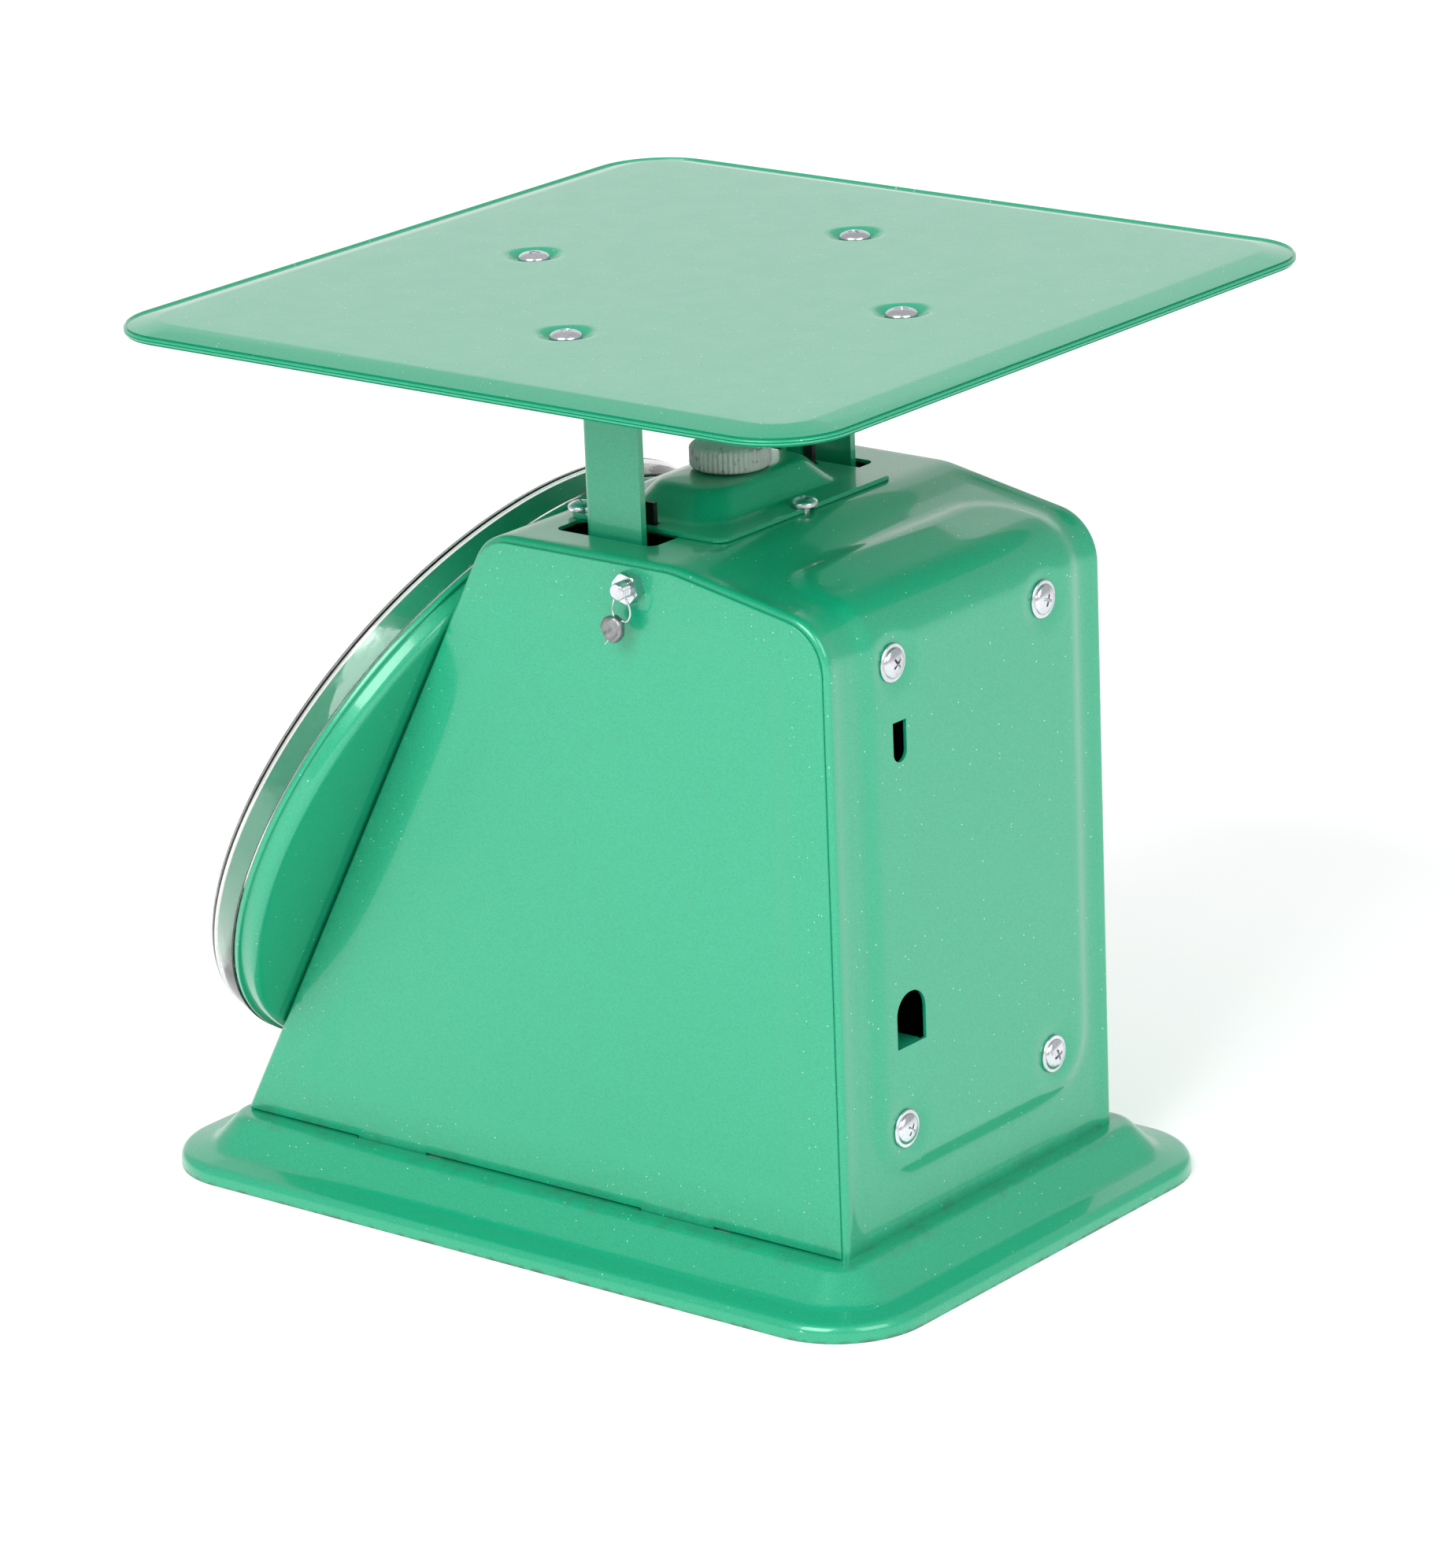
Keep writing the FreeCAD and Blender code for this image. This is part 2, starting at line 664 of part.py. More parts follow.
# ---------------------------------------------------------------- dial
def make_dial():
    """Dish on the hood's sloping front, printed face on four posts, and a clear cover over the dish."""
    steel = D["sheet_steel"]
    outer = D["dish_radius"]
    back = D["cover_back"]
    front = D["cover_front"]
    dish = new_body("dial_dish")
    section = [
        (0, 0),
        (92.0, 0, 5.0),
        (outer, back - 1.8, 2.0),
        (outer + 1.4, back - 1.8),
        (outer + 1.4, back),
        (outer, back),
        (outer, front - 2.6),
        (outer - steel, front - 2.6),
        (outer - steel, back - 1.0, 2.0),
        (91.4, steel, 4.0),
        (0, steel),
    ]
    revolve(dish, section)
    holes = [(0, 0, 4.0)] + [(x, y, 2.0) for x, y in DIAL_SCREWS]
    pocket(dish, "XY_Plane", 3.0, 6.0, circles=holes)
    node(in_dial_frame(dish))

    face = new_body("dial_face")
    holes = [(0, 0, 4.0)] + [(x, y, 1.5) for x, y in FACE_SCREWS]
    pad(face, "XY_Plane", FACE_BACK, FACE_SHEET, circles=[(0, 0, 96.0)] + holes)
    node(in_dial_frame(face))

    posts = []
    studs = []
    for x, y in FACE_SCREWS:
        post = new_body("face_post")
        pad(post, "XY_Plane", steel, FACE_BACK - steel, circles=[(x, y, 3.5), (x, y, 1.5)])
        posts.append(in_dial_frame(post))
        screw = new_body("face_screw")
        seat = FACE_BACK + FACE_SHEET
        head = 1.2
        pad(screw, "XY_Plane", 2.0, seat - 2.0, circles=[(x, y, 1.5)])
        pad(screw, "XY_Plane", seat, head, circles=[(x, y, 3.0)])
        slot = rectangle(x - 2.6, x + 2.6, y - 0.4, y + 0.4)
        pocket(screw, "XY_Plane", seat + head, 0.7, [slot])
        studs.append(in_dial_frame(screw))
    node(group("dial_posts", posts))
    node(group("dial_face_screws", studs))

    cover = new_body("dial_cover")
    skin = 1.6
    rim = D["cover_radius"]
    section = [
        (0, front),
        (rim, front, 2.4),
        (rim, back),
        (rim - skin + 0.1, back),
        (rim - skin + 0.1, front - skin, 1.0),
        (0, front - skin),
    ]
    revolve(cover, section)
    node(in_dial_frame(cover))

    screws = []
    for x, y in DIAL_SCREWS:
        screw = new_body("dial_screw")
        pad(screw, "XY_Plane", -3.0, 3.0 + steel, circles=[(x, y, 2.0)])
        head = 2.2
        pad(screw, "XY_Plane", steel, head, circles=[(x, y, 3.8)])
        slot = rectangle(x - 3.2, x + 3.2, y - 0.5, y + 0.5)
        pocket(screw, "XY_Plane", steel + head, 1.2, [slot])
        screws.append(in_dial_frame(screw))
    node(group("dial_screws", screws))


# ---------------------------------------------------------------- movement behind the dial
def make_movement():
    """U shaped movement frame, its two bushes, the guide pin, the pinion shaft, the rack and the pointer."""
    frame = new_body("movement_frame")
    holes = [(0, 0, 4.0)] + [(x, y, 2.0) for x, y in DIAL_SCREWS]
    front_plate = rectangle(-30.0, 30.0, -22.0, 22.0)
    pad(frame, "XY_Plane", FRAME_FRONT - FRAME_SHEET, FRAME_SHEET, [front_plate], holes)
    depth = FRAME_FRONT - FRAME_REAR
    left = -17.6
    web = rectangle(left, left + FRAME_SHEET, -12.0, 12.0)
    pad(frame, "XY_Plane", FRAME_REAR, depth - FRAME_SHEET, [web])
    rear_plate = rectangle(left, 17.0, -12.0, 12.0)
    rear_holes = [(0, 0, 4.0), (GUIDE_PIN_X, 0, 1.5)]
    pad(frame, "XY_Plane", FRAME_REAR - FRAME_SHEET, FRAME_SHEET, [rear_plate], rear_holes)
    node(in_dial_frame(frame))

    for name, low, high, flange in (("front_bush", -2.6, 1.0, -4.0), ("rear_bush", -38.6, -37.0, -37.0)):
        bush = new_body(name)
        bore = SHAFT_RADIUS + 0.05
        pad(bush, "XY_Plane", low, high - low, circles=[(0, 0, 4.0), (0, 0, bore)])
        pad(bush, "XY_Plane", flange, 1.4, circles=[(0, 0, 5.4), (0, 0, bore)])
        node(in_dial_frame(bush))

    guide = new_body("rack_guide_pin")
    pad(guide, "XY_Plane", FRAME_REAR - FRAME_SHEET, 18.6, circles=[(GUIDE_PIN_X, 0, 1.5)])
    pad(guide, "XY_Plane", FRAME_REAR + 1.0, 16.0, circles=[(GUIDE_PIN_X, 0, 2.6)])
    node(in_dial_frame(guide))

    shaft = new_body("pointer_shaft")
    pad(shaft, "XY_Plane", -40.0, 53.0, circles=[(0, 0, SHAFT_RADIUS)])
    node(in_dial_frame(shaft))

    pointer = new_body("pointer")
    pad(pointer, "XY_Plane", 10.6, 2.0, circles=[(0, 0, 6.5), (0, 0, SHAFT_RADIUS)])
    needle = [(-1.6, 4.0), (-1.2, -28.0), (1.2, -28.0), (1.6, 4.0), (0.25, 84.0), (-0.25, 84.0)]
    needle_back = 11.2
    needle_sheet = 0.8
    pad(pointer, "XY_Plane", needle_back, needle_sheet, [needle])
    pad(pointer, "XY_Plane", needle_back, needle_sheet, circles=[(0, -30.0, 5.5)])
    pocket(pointer, "XY_Plane", 14.0, 6.0, circles=[(0, 0, SHAFT_RADIUS)])
    node(in_dial_frame(pointer))

    cap = new_body("pointer_cap")
    pad(cap, "XY_Plane", 13.0, 1.6, circles=[(0, 0, 3.2)])
    node(in_dial_frame(cap))


def involute_point(base_radius, radius, start_angle, sign, level):
    """A point on the flank of a tooth, at a radius outside the base circle."""
    ratio = max(radius / base_radius, 1.0)
    roll = math.sqrt(ratio * ratio - 1.0)
    angle = start_angle + sign * (roll - math.atan(roll))
    return V(radius * math.cos(angle), radius * math.sin(angle), level)


def dial_placement():
    """The dial frame as a Placement."""
    turn = FreeCAD.Rotation(V(1, 0, 0), 90.0 - D["dial_tilt"].value)
    return FreeCAD.Placement(V(0, D["dial_y"].value, D["dial_z"].value), turn)


def make_rack_and_pinion():
    """Module 0.4 pinion of 14 teeth, long enough for the rack's drift along it, and a rack on its right."""
    module = D["gear_module"].value
    teeth = int(D["pinion_teeth"].value)
    pressure = math.radians(20.0)
    backlash = 0.05
    pitch_radius = module * teeth / 2
    base_radius = pitch_radius * math.cos(pressure)
    tip = pitch_radius + module * 0.85
    root = pitch_radius - module * 1.2
    half_tooth = math.pi / (2 * teeth) - backlash / pitch_radius
    half_base = half_tooth + math.tan(pressure) - pressure
    levels = [base_radius + (tip - base_radius) * step / 4 for step in range(5)]
    low_end = RACK_FRONT - RACK_FACE - 10.2
    points = []
    for tooth in range(teeth):
        middle = (tooth + 0.5) * 2 * math.pi / teeth
        starts = (middle - half_base, middle + half_base)
        low, high = [V(root * math.cos(start), root * math.sin(start), low_end) for start in starts]
        rising = [involute_point(base_radius, level, starts[0], 1, low_end) for level in levels]
        falling = [involute_point(base_radius, level, starts[1], -1, low_end) for level in reversed(levels)]
        points += [low] + rising + falling + [high]
    wheel = Part.Face(Part.makePolygon(points + [points[0]]))
    length = 14.0
    blank = wheel.extrude(V(0, 0, length))
    blank = blank.cut(Part.makeCylinder(SHAFT_RADIUS, length + 2.0, V(0, 0, low_end - 1.0)))
    pinion = doc.addObject("Part::Feature", "pinion")
    pinion.Shape = blank
    pinion.Placement = dial_placement()
    node(pinion)

    pitch = math.pi * module
    half_rack = pitch / 4 - backlash
    slope = math.tan(pressure)
    addendum = module * 0.8
    dedendum = module * 1.25
    line = pitch_radius
    back = line + 6.4
    teeth_up = 18
    teeth_down = 4
    top = teeth_up * pitch + 1.6
    bottom = -44.0
    foot = line + dedendum
    crest = line - addendum
    outline = [(back, bottom), (back, top), (foot, top)]
    for tooth in range(teeth_up, -teeth_down - 1, -1):
        centre = tooth * pitch
        wide = half_rack + dedendum * slope
        narrow = half_rack - addendum * slope
        outline += [(foot, centre + wide), (crest, centre + narrow), (crest, centre - narrow), (foot, centre - wide)]
    outline.append((foot, bottom))
    rear = RACK_FRONT - RACK_FACE
    corners = [V(x, y, rear) for x, y in outline]
    bar = Part.Face(Part.makePolygon(corners + [corners[0]])).extrude(V(0, 0, RACK_FACE))
    rack = doc.addObject("Part::Feature", "rack")
    rack.Shape = bar
    rack.Placement = dial_placement()
    node(rack)


# ---------------------------------------------------------------- platform
def make_platform():
    """Pressed square tray: flat top, a shallow falling lip with a small turned hem, and four dimples."""
    body = new_body("platform")
    thick = D["platform_sheet"]
    edge = D["platform_size"] / 2
    section = [
        (-edge, -3.2),
        (-edge, -1.9, 0.6),
        (10.0 - edge, 0, 6.0),
        (21.0 - edge, 0),
        (21.0 - edge, -thick),
        (10.2 - edge, -thick, 5.0),
        (1.1 - edge, -2.9),
        (1.1 - edge, -3.2),
    ]
    pipe_round(body, D["platform_size"], D["platform_size"], D["platform_corner"], section)
    overlap = 20.9
    half = edge - overlap
    deck = rectangle(-half, half, -half, half, D["platform_corner"] - overlap)
    pad(body, "XY_Plane", -thick, thick, [deck])
    ring = D["screw_circle"]
    spots = [(ring, 0), (-ring, 0), (0, ring), (0, -ring)]
    pad(body, "XY_Plane", -PLATFORM_DIMPLE - thick, 2.2, circles=[(x, y, 7.0) for x, y in spots])
    pocket(body, "XY_Plane", 0.5, PLATFORM_DIMPLE + 0.5, circles=[(x, y, 6.2) for x, y in spots])
    pocket(body, "XY_Plane", 0.5, 6.0, circles=[(x, y, 2.5) for x, y in spots])
    node(place(body, 0, D["platform_y"], D["platform_top"]))
    screws = []
    seat = D["platform_top"] - PLATFORM_DIMPLE
    for x, y in spots:
        screws.append(pan_screw("platform_screw", x, y + D["platform_y"], seat, "Z", 4.6, 2.9, 2.5, 7.0))
    node(group("platform_screws", screws))


def make_spider():
    """Cross of flat strip under the tray, the two angle section arms, and the bar that joins their feet."""
    half = D["strip_width"] / 2
    thick = D["strip_thick"]
    level = D["platform_top"] - PLATFORM_DIMPLE - D["platform_sheet"] - thick
    reach = D["screw_circle"] + 9.0
    middle = D["platform_y"]
    body = new_body("spider")
    pad(body, "XY_Plane", level, thick, [rectangle(-reach, reach, middle - half, middle + half)])
    pad(body, "XY_Plane", level, thick, [rectangle(-half, half, middle - reach, middle + reach)])
    ring = D["screw_circle"]
    spots = [(ring, middle), (-ring, middle), (0, middle + ring), (0, middle - ring)]
    pocket(body, "XY_Plane", level + 3.0, 5.0, circles=[(x, y, 2.5) for x, y in spots])
    node(body)
    outer = D["arm_x"]
    inner = outer - D["arm_thick"]
    for side, name in ((1, "arm_right"), (-1, "arm_left")):
        arm = new_body(name)
        front = middle - half
        section = [
            (side * outer, front),
            (side * outer, middle + half),
            (side * inner, middle + half),
            (side * inner, front + D["arm_thick"]),
            (side * (outer - D["arm_flange"]), front + D["arm_thick"]),
            (side * (outer - D["arm_flange"]), front),
        ]
        pad(arm, "XY_Plane", ARM_FOOT, level - ARM_FOOT, [section])
        pins = [(PIN_Y, z, 2.5) for z in (D["upper_pivot_z"] + 10.0, D["lower_pivot_z"] + 10.0)]
        bolts = [(y, BOLT_Z, 2.0) for y in BOLT_Y]
        pocket(arm, "YZ_Plane", 0, 120.0, circles=pins + bolts, symmetric=True)
        node(arm)


def make_lower_carriage():
    """Bar between the arms' feet, its upturned ends and bolts, the guide pins and the arm for the rack."""
    inner = D["arm_x"] - D["arm_thick"]
    bar = new_body("lower_crossbar")
    front = 18.0
    pad(bar, "XY_Plane", ARM_FOOT, 3.0, [rectangle(-inner, inner, front, 38.0)])
    for side in SIDES:
        near = side * inner
        far = side * (inner - D["arm_thick"])
        pad(bar, "XY_Plane", ARM_FOOT + 2.5, 17.5, [rectangle(far, near, front, 34.0)])
    circles = [(s * D["spring_x"], D["spring_y"], 2.5) for s in SIDES]
    pocket(bar, "XY_Plane", ARM_FOOT + 4.0, 6.0, circles=circles)
    pocket(bar, "YZ_Plane", 0, 120.0, circles=[(y, BOLT_Z, 2.0) for y in BOLT_Y], symmetric=True)
    node(bar)

    bolts = []
    pins = []
    outer = D["arm_x"]
    bolt_end = 42.4
    bolt_head = 2.4
    pin_end = 40.6
    pin_head = 1.4
    for side in SIDES:
        for y in BOLT_Y:
            start = outer if side > 0 else -outer - bolt_head
            shank_start = bolt_end if side > 0 else -outer
            head = rod("bolt_head", 3.6, bolt_head, start, y, BOLT_Z, "X", 6)
            shank = rod("bolt_shank", 2.0, outer - bolt_end, shank_start, y, BOLT_Z, "X")
            bolts.append(joined("crossbar_bolt", [head, shank]))
        for z in (D["upper_pivot_z"] + 10.0, D["lower_pivot_z"] + 10.0):
            start = pin_end if side > 0 else -outer
            pin = rod("pin_shank", 2.5, outer - pin_end, start, PIN_Y, z, "X")
            head_start = pin_end - pin_head if side > 0 else -pin_end
            head = rod("pin_head", 4.0, pin_head, head_start, PIN_Y, z, "X")
            pins.append(joined("guide_pin", [pin, head]))
    node(group("crossbar_bolts", bolts))
    node(group("guide_pins", pins))

    arm = new_body("rack_arm")
    strip = 2.4
    pad(arm, "XY_Plane", ARM_FOOT - strip, strip, [rectangle(-9.0, 11.0, -60.0, 36.0)])
    node(arm)
    rear = RACK_FRONT - RACK_FACE
    tab = new_body("rack_tab")
    pad(tab, "XY_Plane", rear - 2.0, 2.0, [rectangle(-6.0, 9.2, -48.6, -30.0)])
    node(in_dial_frame(tab))


# ---------------------------------------------------------------- springs and zero adjustment
def make_suspension():
    """Spring beam on the knob's threaded rod, screwed end plugs, and the two extension springs."""
    y = D["spring_y"]
    x = D["spring_x"]
    level = D["beam_z"]
    beam = new_body("spring_beam")
    pad(beam, "XY_Plane", level, 3.0, [rectangle(-37.0, 37.0, y - 7.0, y + 7.0)])
    tabs = [rectangle(s * 35.2, s * 36.8, y - 1.6, y + 1.6) for s in SIDES]
    pad(beam, "XY_Plane", level + 2.5, 23.3, tabs)
    holes = [(0, y, 3.05), (x, y, 2.5), (-x, y, 2.5)]
    pocket(beam, "XY_Plane", level + 4.0, 6.0, circles=holes)
    node(beam)
    for name, plug_low, stud_low, stud_high, nut_low in (
        ("upper_spring_plugs", 168.0, 179.0, 196.0, 191.0),
        ("lower_spring_plugs", 84.0, 54.5, 85.0, 56.5),
    ):
        pieces = []
        for side in SIDES:
            plug = rod("plug_body", 7.4, 12.0, side * x, y, plug_low)
            stud = rod("plug_stud", 2.5, stud_high - stud_low, side * x, y, stud_low)
            nut = rod("plug_nut", 4.6, 3.5, side * x, y, nut_low, "Z", 6)
            pieces.append(joined("spring_plug", [plug, stud, nut]))
        node(group(name, pieces))
    height = SPRING_HIGH - SPRING_LOW
    for side, name in ((1, "spring_right"), (-1, "spring_left")):
        helix = doc.addObject("Part::Helix", name + "_path")
        bind(helix, "Radius", D["spring_radius"])
        helix.Pitch = height / SPRING_TURNS
        helix.Height = height
        helix.SegmentLength = 1
        ring = doc.addObject("Part::Circle", name + "_wire")
        bind(ring, "Radius", D["spring_wire"])
        place(ring, D["spring_radius"], 0, 0, (1, 0, 0), 90.0)
        coil = doc.addObject("Part::Sweep", name)
        coil.Sections = [ring]
        doc.recompute()
        coil.Spine = (helix, [f"Edge{i}" for i in range(1, len(helix.Shape.Edges) + 1)])
        coil.Solid = True
        coil.Frenet = True
        node(place(coil, side * x, y, SPRING_LOW))

    knob = new_body("tare_knob")
    bottom = D["hood_top"] + 9.4
    radius = D["knob_radius"]
    section = [
        (3.0, 0),
        (radius - 0.6, 0),
        (radius, 0.6),
        (radius, 6.4),
        (radius - 0.6, 7.0),
        (6.4, 8.4),
        (3.0, 8.4),
    ]
    revolve(knob, section)
    flute = new_sketch(knob, "XY_Plane", 7.2)
    add_circle(flute, radius + 0.35, 0, 0.75)
    groove = knob.newObject("PartDesign::Pocket", "knob_flute")
    groove.Profile = flute
    groove.Length = 7.4
    doc.recompute()
    pattern = knob.newObject("PartDesign::PolarPattern", "knob_flutes")
    pattern.Originals = [groove]
    pattern.Axis = (flute, ["N_Axis"])
    pattern.Angle = 360
    pattern.Occurrences = 48
    knob.Tip = pattern
    node(place(knob, 0, y, bottom))
    node(rod("knob_rod", 3.0, 76.0, 0, y, 154.0))
    blank = rod("knob_nut_blank", 5.2, 3.2, 0, y, bottom + 8.4, "Z", 6)
    bore = rod("knob_nut_bore", 3.0, 8.0, 0, y, bottom + 6.0)
    node(cut("knob_nut", blank, [bore]))


# ---------------------------------------------------------------- parallel links
def make_links():
    """Upper and lower pairs of links, each pair on one shaft, that keep the carriage upright."""
    length = D["link_length"]
    lean = math.degrees(math.asin(10.0 / 50.5))
    for level, name in ((D["upper_pivot_z"], "upper"), (D["lower_pivot_z"], "lower")):
        for side, hand in ((1, "right"), (-1, "left")):
            body = new_body(f"{name}_link_{hand}")
            start = 41.5 if side > 0 else -43.5
            bar = rectangle(-length - 8.0, 7.5, -6.0, 6.0, 5.5)
            pad(body, "YZ_Plane", start, 2.0, [bar], [(0, 0, 3.06), (-18.0, 0, 2.5)])
            slot = rectangle(-length - 3.7, 3.7 - length, -2.66, 2.66)
            pocket(body, "YZ_Plane", start + 4.0, 6.0, [slot])
            node(place(body, 0, D["link_pivot_y"], level, (1, 0, 0), -lean))
        tie = new_body(f"{name}_tie_rod")
        pad(tie, "YZ_Plane", -43.5, 87.0, circles=[(-18.0, 0, 2.5)])
        node(place(tie, 0, D["link_pivot_y"], level, (1, 0, 0), -lean))
        node(rod(f"{name}_link_shaft", 3.0, 99.0, -49.5, D["link_pivot_y"], level, "X"))


make_base_pan()
make_hood()
make_side_plates()
make_chassis()
make_top_bracket()
make_case_screws()
make_studs_and_seal()
make_dial()
make_movement()
make_rack_and_pinion()
make_platform()
make_spider()
make_lower_carriage()
make_suspension()
make_links()
doc.recompute()

# ---------------------------------------------------------------- checks and export
for obj in doc.Objects:
    if "Invalid" in obj.State or "Error" in obj.State:
        raise RuntimeError(f"{obj.Label} is {obj.State}")
os.makedirs("parts", exist_ok=True)
for name, obj in NODES.items():
    shape = obj.Shape
    if shape.isNull() or not shape.isValid() or shape.Volume <= 0:
        raise RuntimeError(f"{name}: bad shape, volume {0 if shape.isNull() else shape.Volume}")
    shape.exportStep(f"parts/{name}.step")
    low = shape.optimalBoundingBox()
    print(f"{name:22s} solids {len(shape.Solids)} volume {shape.Volume:10.1f}  "
          f"x {low.XMin:7.1f} {low.XMax:7.1f}  y {low.YMin:7.1f} {low.YMax:7.1f}  z {low.ZMin:6.1f} {low.ZMax:6.1f}")
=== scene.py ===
import json
import math

import bmesh
import bpy
from mathutils import Matrix, Vector


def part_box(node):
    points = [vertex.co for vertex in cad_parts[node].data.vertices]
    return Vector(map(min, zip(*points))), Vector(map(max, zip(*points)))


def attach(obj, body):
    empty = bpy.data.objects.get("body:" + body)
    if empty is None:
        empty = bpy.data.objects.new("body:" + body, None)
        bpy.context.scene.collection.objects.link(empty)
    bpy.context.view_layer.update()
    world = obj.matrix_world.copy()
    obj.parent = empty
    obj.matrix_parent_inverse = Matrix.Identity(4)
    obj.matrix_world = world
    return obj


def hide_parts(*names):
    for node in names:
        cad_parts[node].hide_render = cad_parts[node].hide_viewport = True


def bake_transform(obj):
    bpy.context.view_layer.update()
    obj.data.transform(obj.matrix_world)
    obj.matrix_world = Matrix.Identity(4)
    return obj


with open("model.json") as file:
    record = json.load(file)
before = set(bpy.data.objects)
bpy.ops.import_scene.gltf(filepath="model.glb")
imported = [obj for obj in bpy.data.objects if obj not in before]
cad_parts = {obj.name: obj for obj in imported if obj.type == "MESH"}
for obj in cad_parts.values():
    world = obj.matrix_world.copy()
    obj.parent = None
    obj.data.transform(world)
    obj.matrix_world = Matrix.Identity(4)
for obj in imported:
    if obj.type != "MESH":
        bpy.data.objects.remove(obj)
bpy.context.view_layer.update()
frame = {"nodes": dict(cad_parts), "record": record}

# Looks for a mechanical dial platform scale, built round its CAD nodes. Lengths are metres, angles radians.
MM = 0.001
NODES = frame["nodes"]
UP = Vector((0.0, 0.0, 1.0))


# ---------------------------------------------------------------- materials
class Look:
    """A procedural material: a Principled shader and the nodes that feed it, in the part frame's metres."""

    def __init__(self, name):
        self.material = bpy.data.materials.new(name)
        self.material.use_nodes = True
        self.tree = self.material.node_tree
        self.shader = self.tree.nodes["Principled BSDF"]
        self.place = self.tree.nodes.new("ShaderNodeTexCoord").outputs["Object"]

    def add(self, kind, inputs=None, **settings):
        made = self.tree.nodes.new(kind)
        for key, value in settings.items():
            setattr(made, key, value)
        for key, value in (inputs or {}).items():
            if isinstance(value, bpy.types.NodeSocket):
                self.tree.links.new(value, made.inputs[key])
            else:
                made.inputs[key].default_value = value
        return made

    def set(self, **values):
        """Sets or links the shader's own sockets: base_color=..., roughness=..."""
        for key, value in values.items():
            socket = next(s for s in self.shader.inputs if s.name.lower().replace(" ", "_") == key)
            if isinstance(value, bpy.types.NodeSocket):
                self.tree.links.new(value, socket)
            else:
                socket.default_value = value
        return self

    def noise(self, scale, detail=3.0, rough=0.55, stretch=None):
        place = self.place
        if stretch is not None:
            place = self.add("ShaderNodeMapping", {"Vector": place, "Scale": stretch}).outputs[0]
        inputs = {"Vector": place, "Scale": scale, "Detail": detail, "Roughness": rough}
        return self.add("ShaderNodeTexNoise", inputs).outputs["Fac"]

    def math(self, operation, a, b=0.0):
        return self.add("ShaderNodeMath", {0: a, 1: b}, operation=operation).outputs[0]

    def span(self, value, low, high, first=0.0, last=1.0):
        """Maps low..high onto first..last, held at the ends."""
        inputs = {"Value": value, "From Min": low, "From Max": high, "To Min": first, "To Max": last}
        return self.add("ShaderNodeMapRange", inputs, interpolation_type="SMOOTHSTEP").outputs[0]

    def mix(self, share, a, b):
        return self.add("ShaderNodeMix", {0: share, 6: a, 7: b}, data_type="RGBA").outputs[2]

    def specks(self, scale, share, size):
        """1 inside a few small round flecks, 0 elsewhere. share is how many of the cells hold one."""
        cells = self.add("ShaderNodeTexVoronoi", {"Vector": self.place, "Scale": scale, "Randomness": 1.0})
        chosen = self.math("GREATER_THAN", self.split(cells.outputs["Color"])[0], 1.0 - share)
        near = self.span(cells.outputs["Distance"], size, size * 0.5)
        return self.math("MULTIPLY", chosen, near)

    def split(self, vector):
        return self.add("ShaderNodeSeparateXYZ", {0: vector}).outputs

    def bump(self, height, depth, strength=1.0):
        made = self.add("ShaderNodeBump", {"Height": height, "Distance": depth, "Strength": strength})
        return self.set(normal=made.outputs[0])


def enamel(name, base=(0.007, 0.37, 0.195, 1.0), wear_below=None):
    """Glossy green enamel with a fine grain, flecks, orange peel, and dirt with painted shade along the joint
    with the base.
    """
    look = Look(name)
    deep = tuple(c * 0.62 for c in base[:3]) + (1.0,)
    pale = (base[0] * 2.0 + 0.01, base[1] * 1.18, base[2] * 1.25, 1.0)
    cloud = look.noise(14.0, 4.0)
    grain = look.noise(2600.0, 2.0, 0.7)
    colour = look.mix(look.span(cloud, 0.3, 0.7, 0.0, 0.1), base, pale)
    colour = look.mix(look.span(grain, 0.36, 0.62, 0.42, 0.0), colour, deep)
    colour = look.mix(look.span(grain, 0.55, 0.75, 0.0, 0.35), colour, pale)
    flecks = (
        (650.0, 0.08, 0.16, 0.85, (0.62, 0.86, 0.74, 1.0)),
        (1000.0, 0.12, 0.15, 0.5, (0.30, 0.74, 0.48, 1.0)),
        (760.0, 0.035, 0.12, 0.7, (0.004, 0.05, 0.03, 1.0)),
    )
    for scale, share, size, strength, shade in flecks:
        colour = look.mix(look.math("MULTIPLY", look.specks(scale, share, size), strength), colour, shade)
    height = look.split(look.place)[2]
    # Dirt and painted shade: a dark green band round the joint with the base pan, from 12.5 to 22 mm up, broken
    # up by noise.
    joint_dirt_and_shade = look.math("MULTIPLY", look.span(look.noise(160.0, 5.0, 0.7), 0.42, 0.72), 0.3)
    fading = look.span(height, 22.0 * MM, 15.5 * MM)
    dirt_and_shade_band = look.math("MULTIPLY", fading, look.span(height, 12.5 * MM, 14.5 * MM))
    colour = look.mix(look.math("MULTIPLY", joint_dirt_and_shade, dirt_and_shade_band), colour, (0.05, 0.09, 0.05, 1.0))
    if wear_below is not None:
        ragged = look.span(look.noise(240.0), 0.3, 0.7, 0.0, 1.0 * MM)
        edge = look.span(look.math("ADD", height, ragged), wear_below, 0.0)
        colour = look.mix(look.math("MULTIPLY", edge, 0.8), colour, (0.045, 0.03, 0.016, 1.0))
    look.set(base_color=colour, metallic=0.12, coat_weight=0.7, coat_roughness=0.06, coat_ior=1.5)
    look.set(roughness=look.span(look.noise(90.0, 4.0), 0.3, 0.7, 0.29, 0.33))
    peel = look.math("ADD", look.noise(520.0, 2.0, 0.5), look.math("MULTIPLY", look.noise(60.0, 2.0), 0.15))
    look.bump(peel, 0.00007, 0.35)
    return look.material


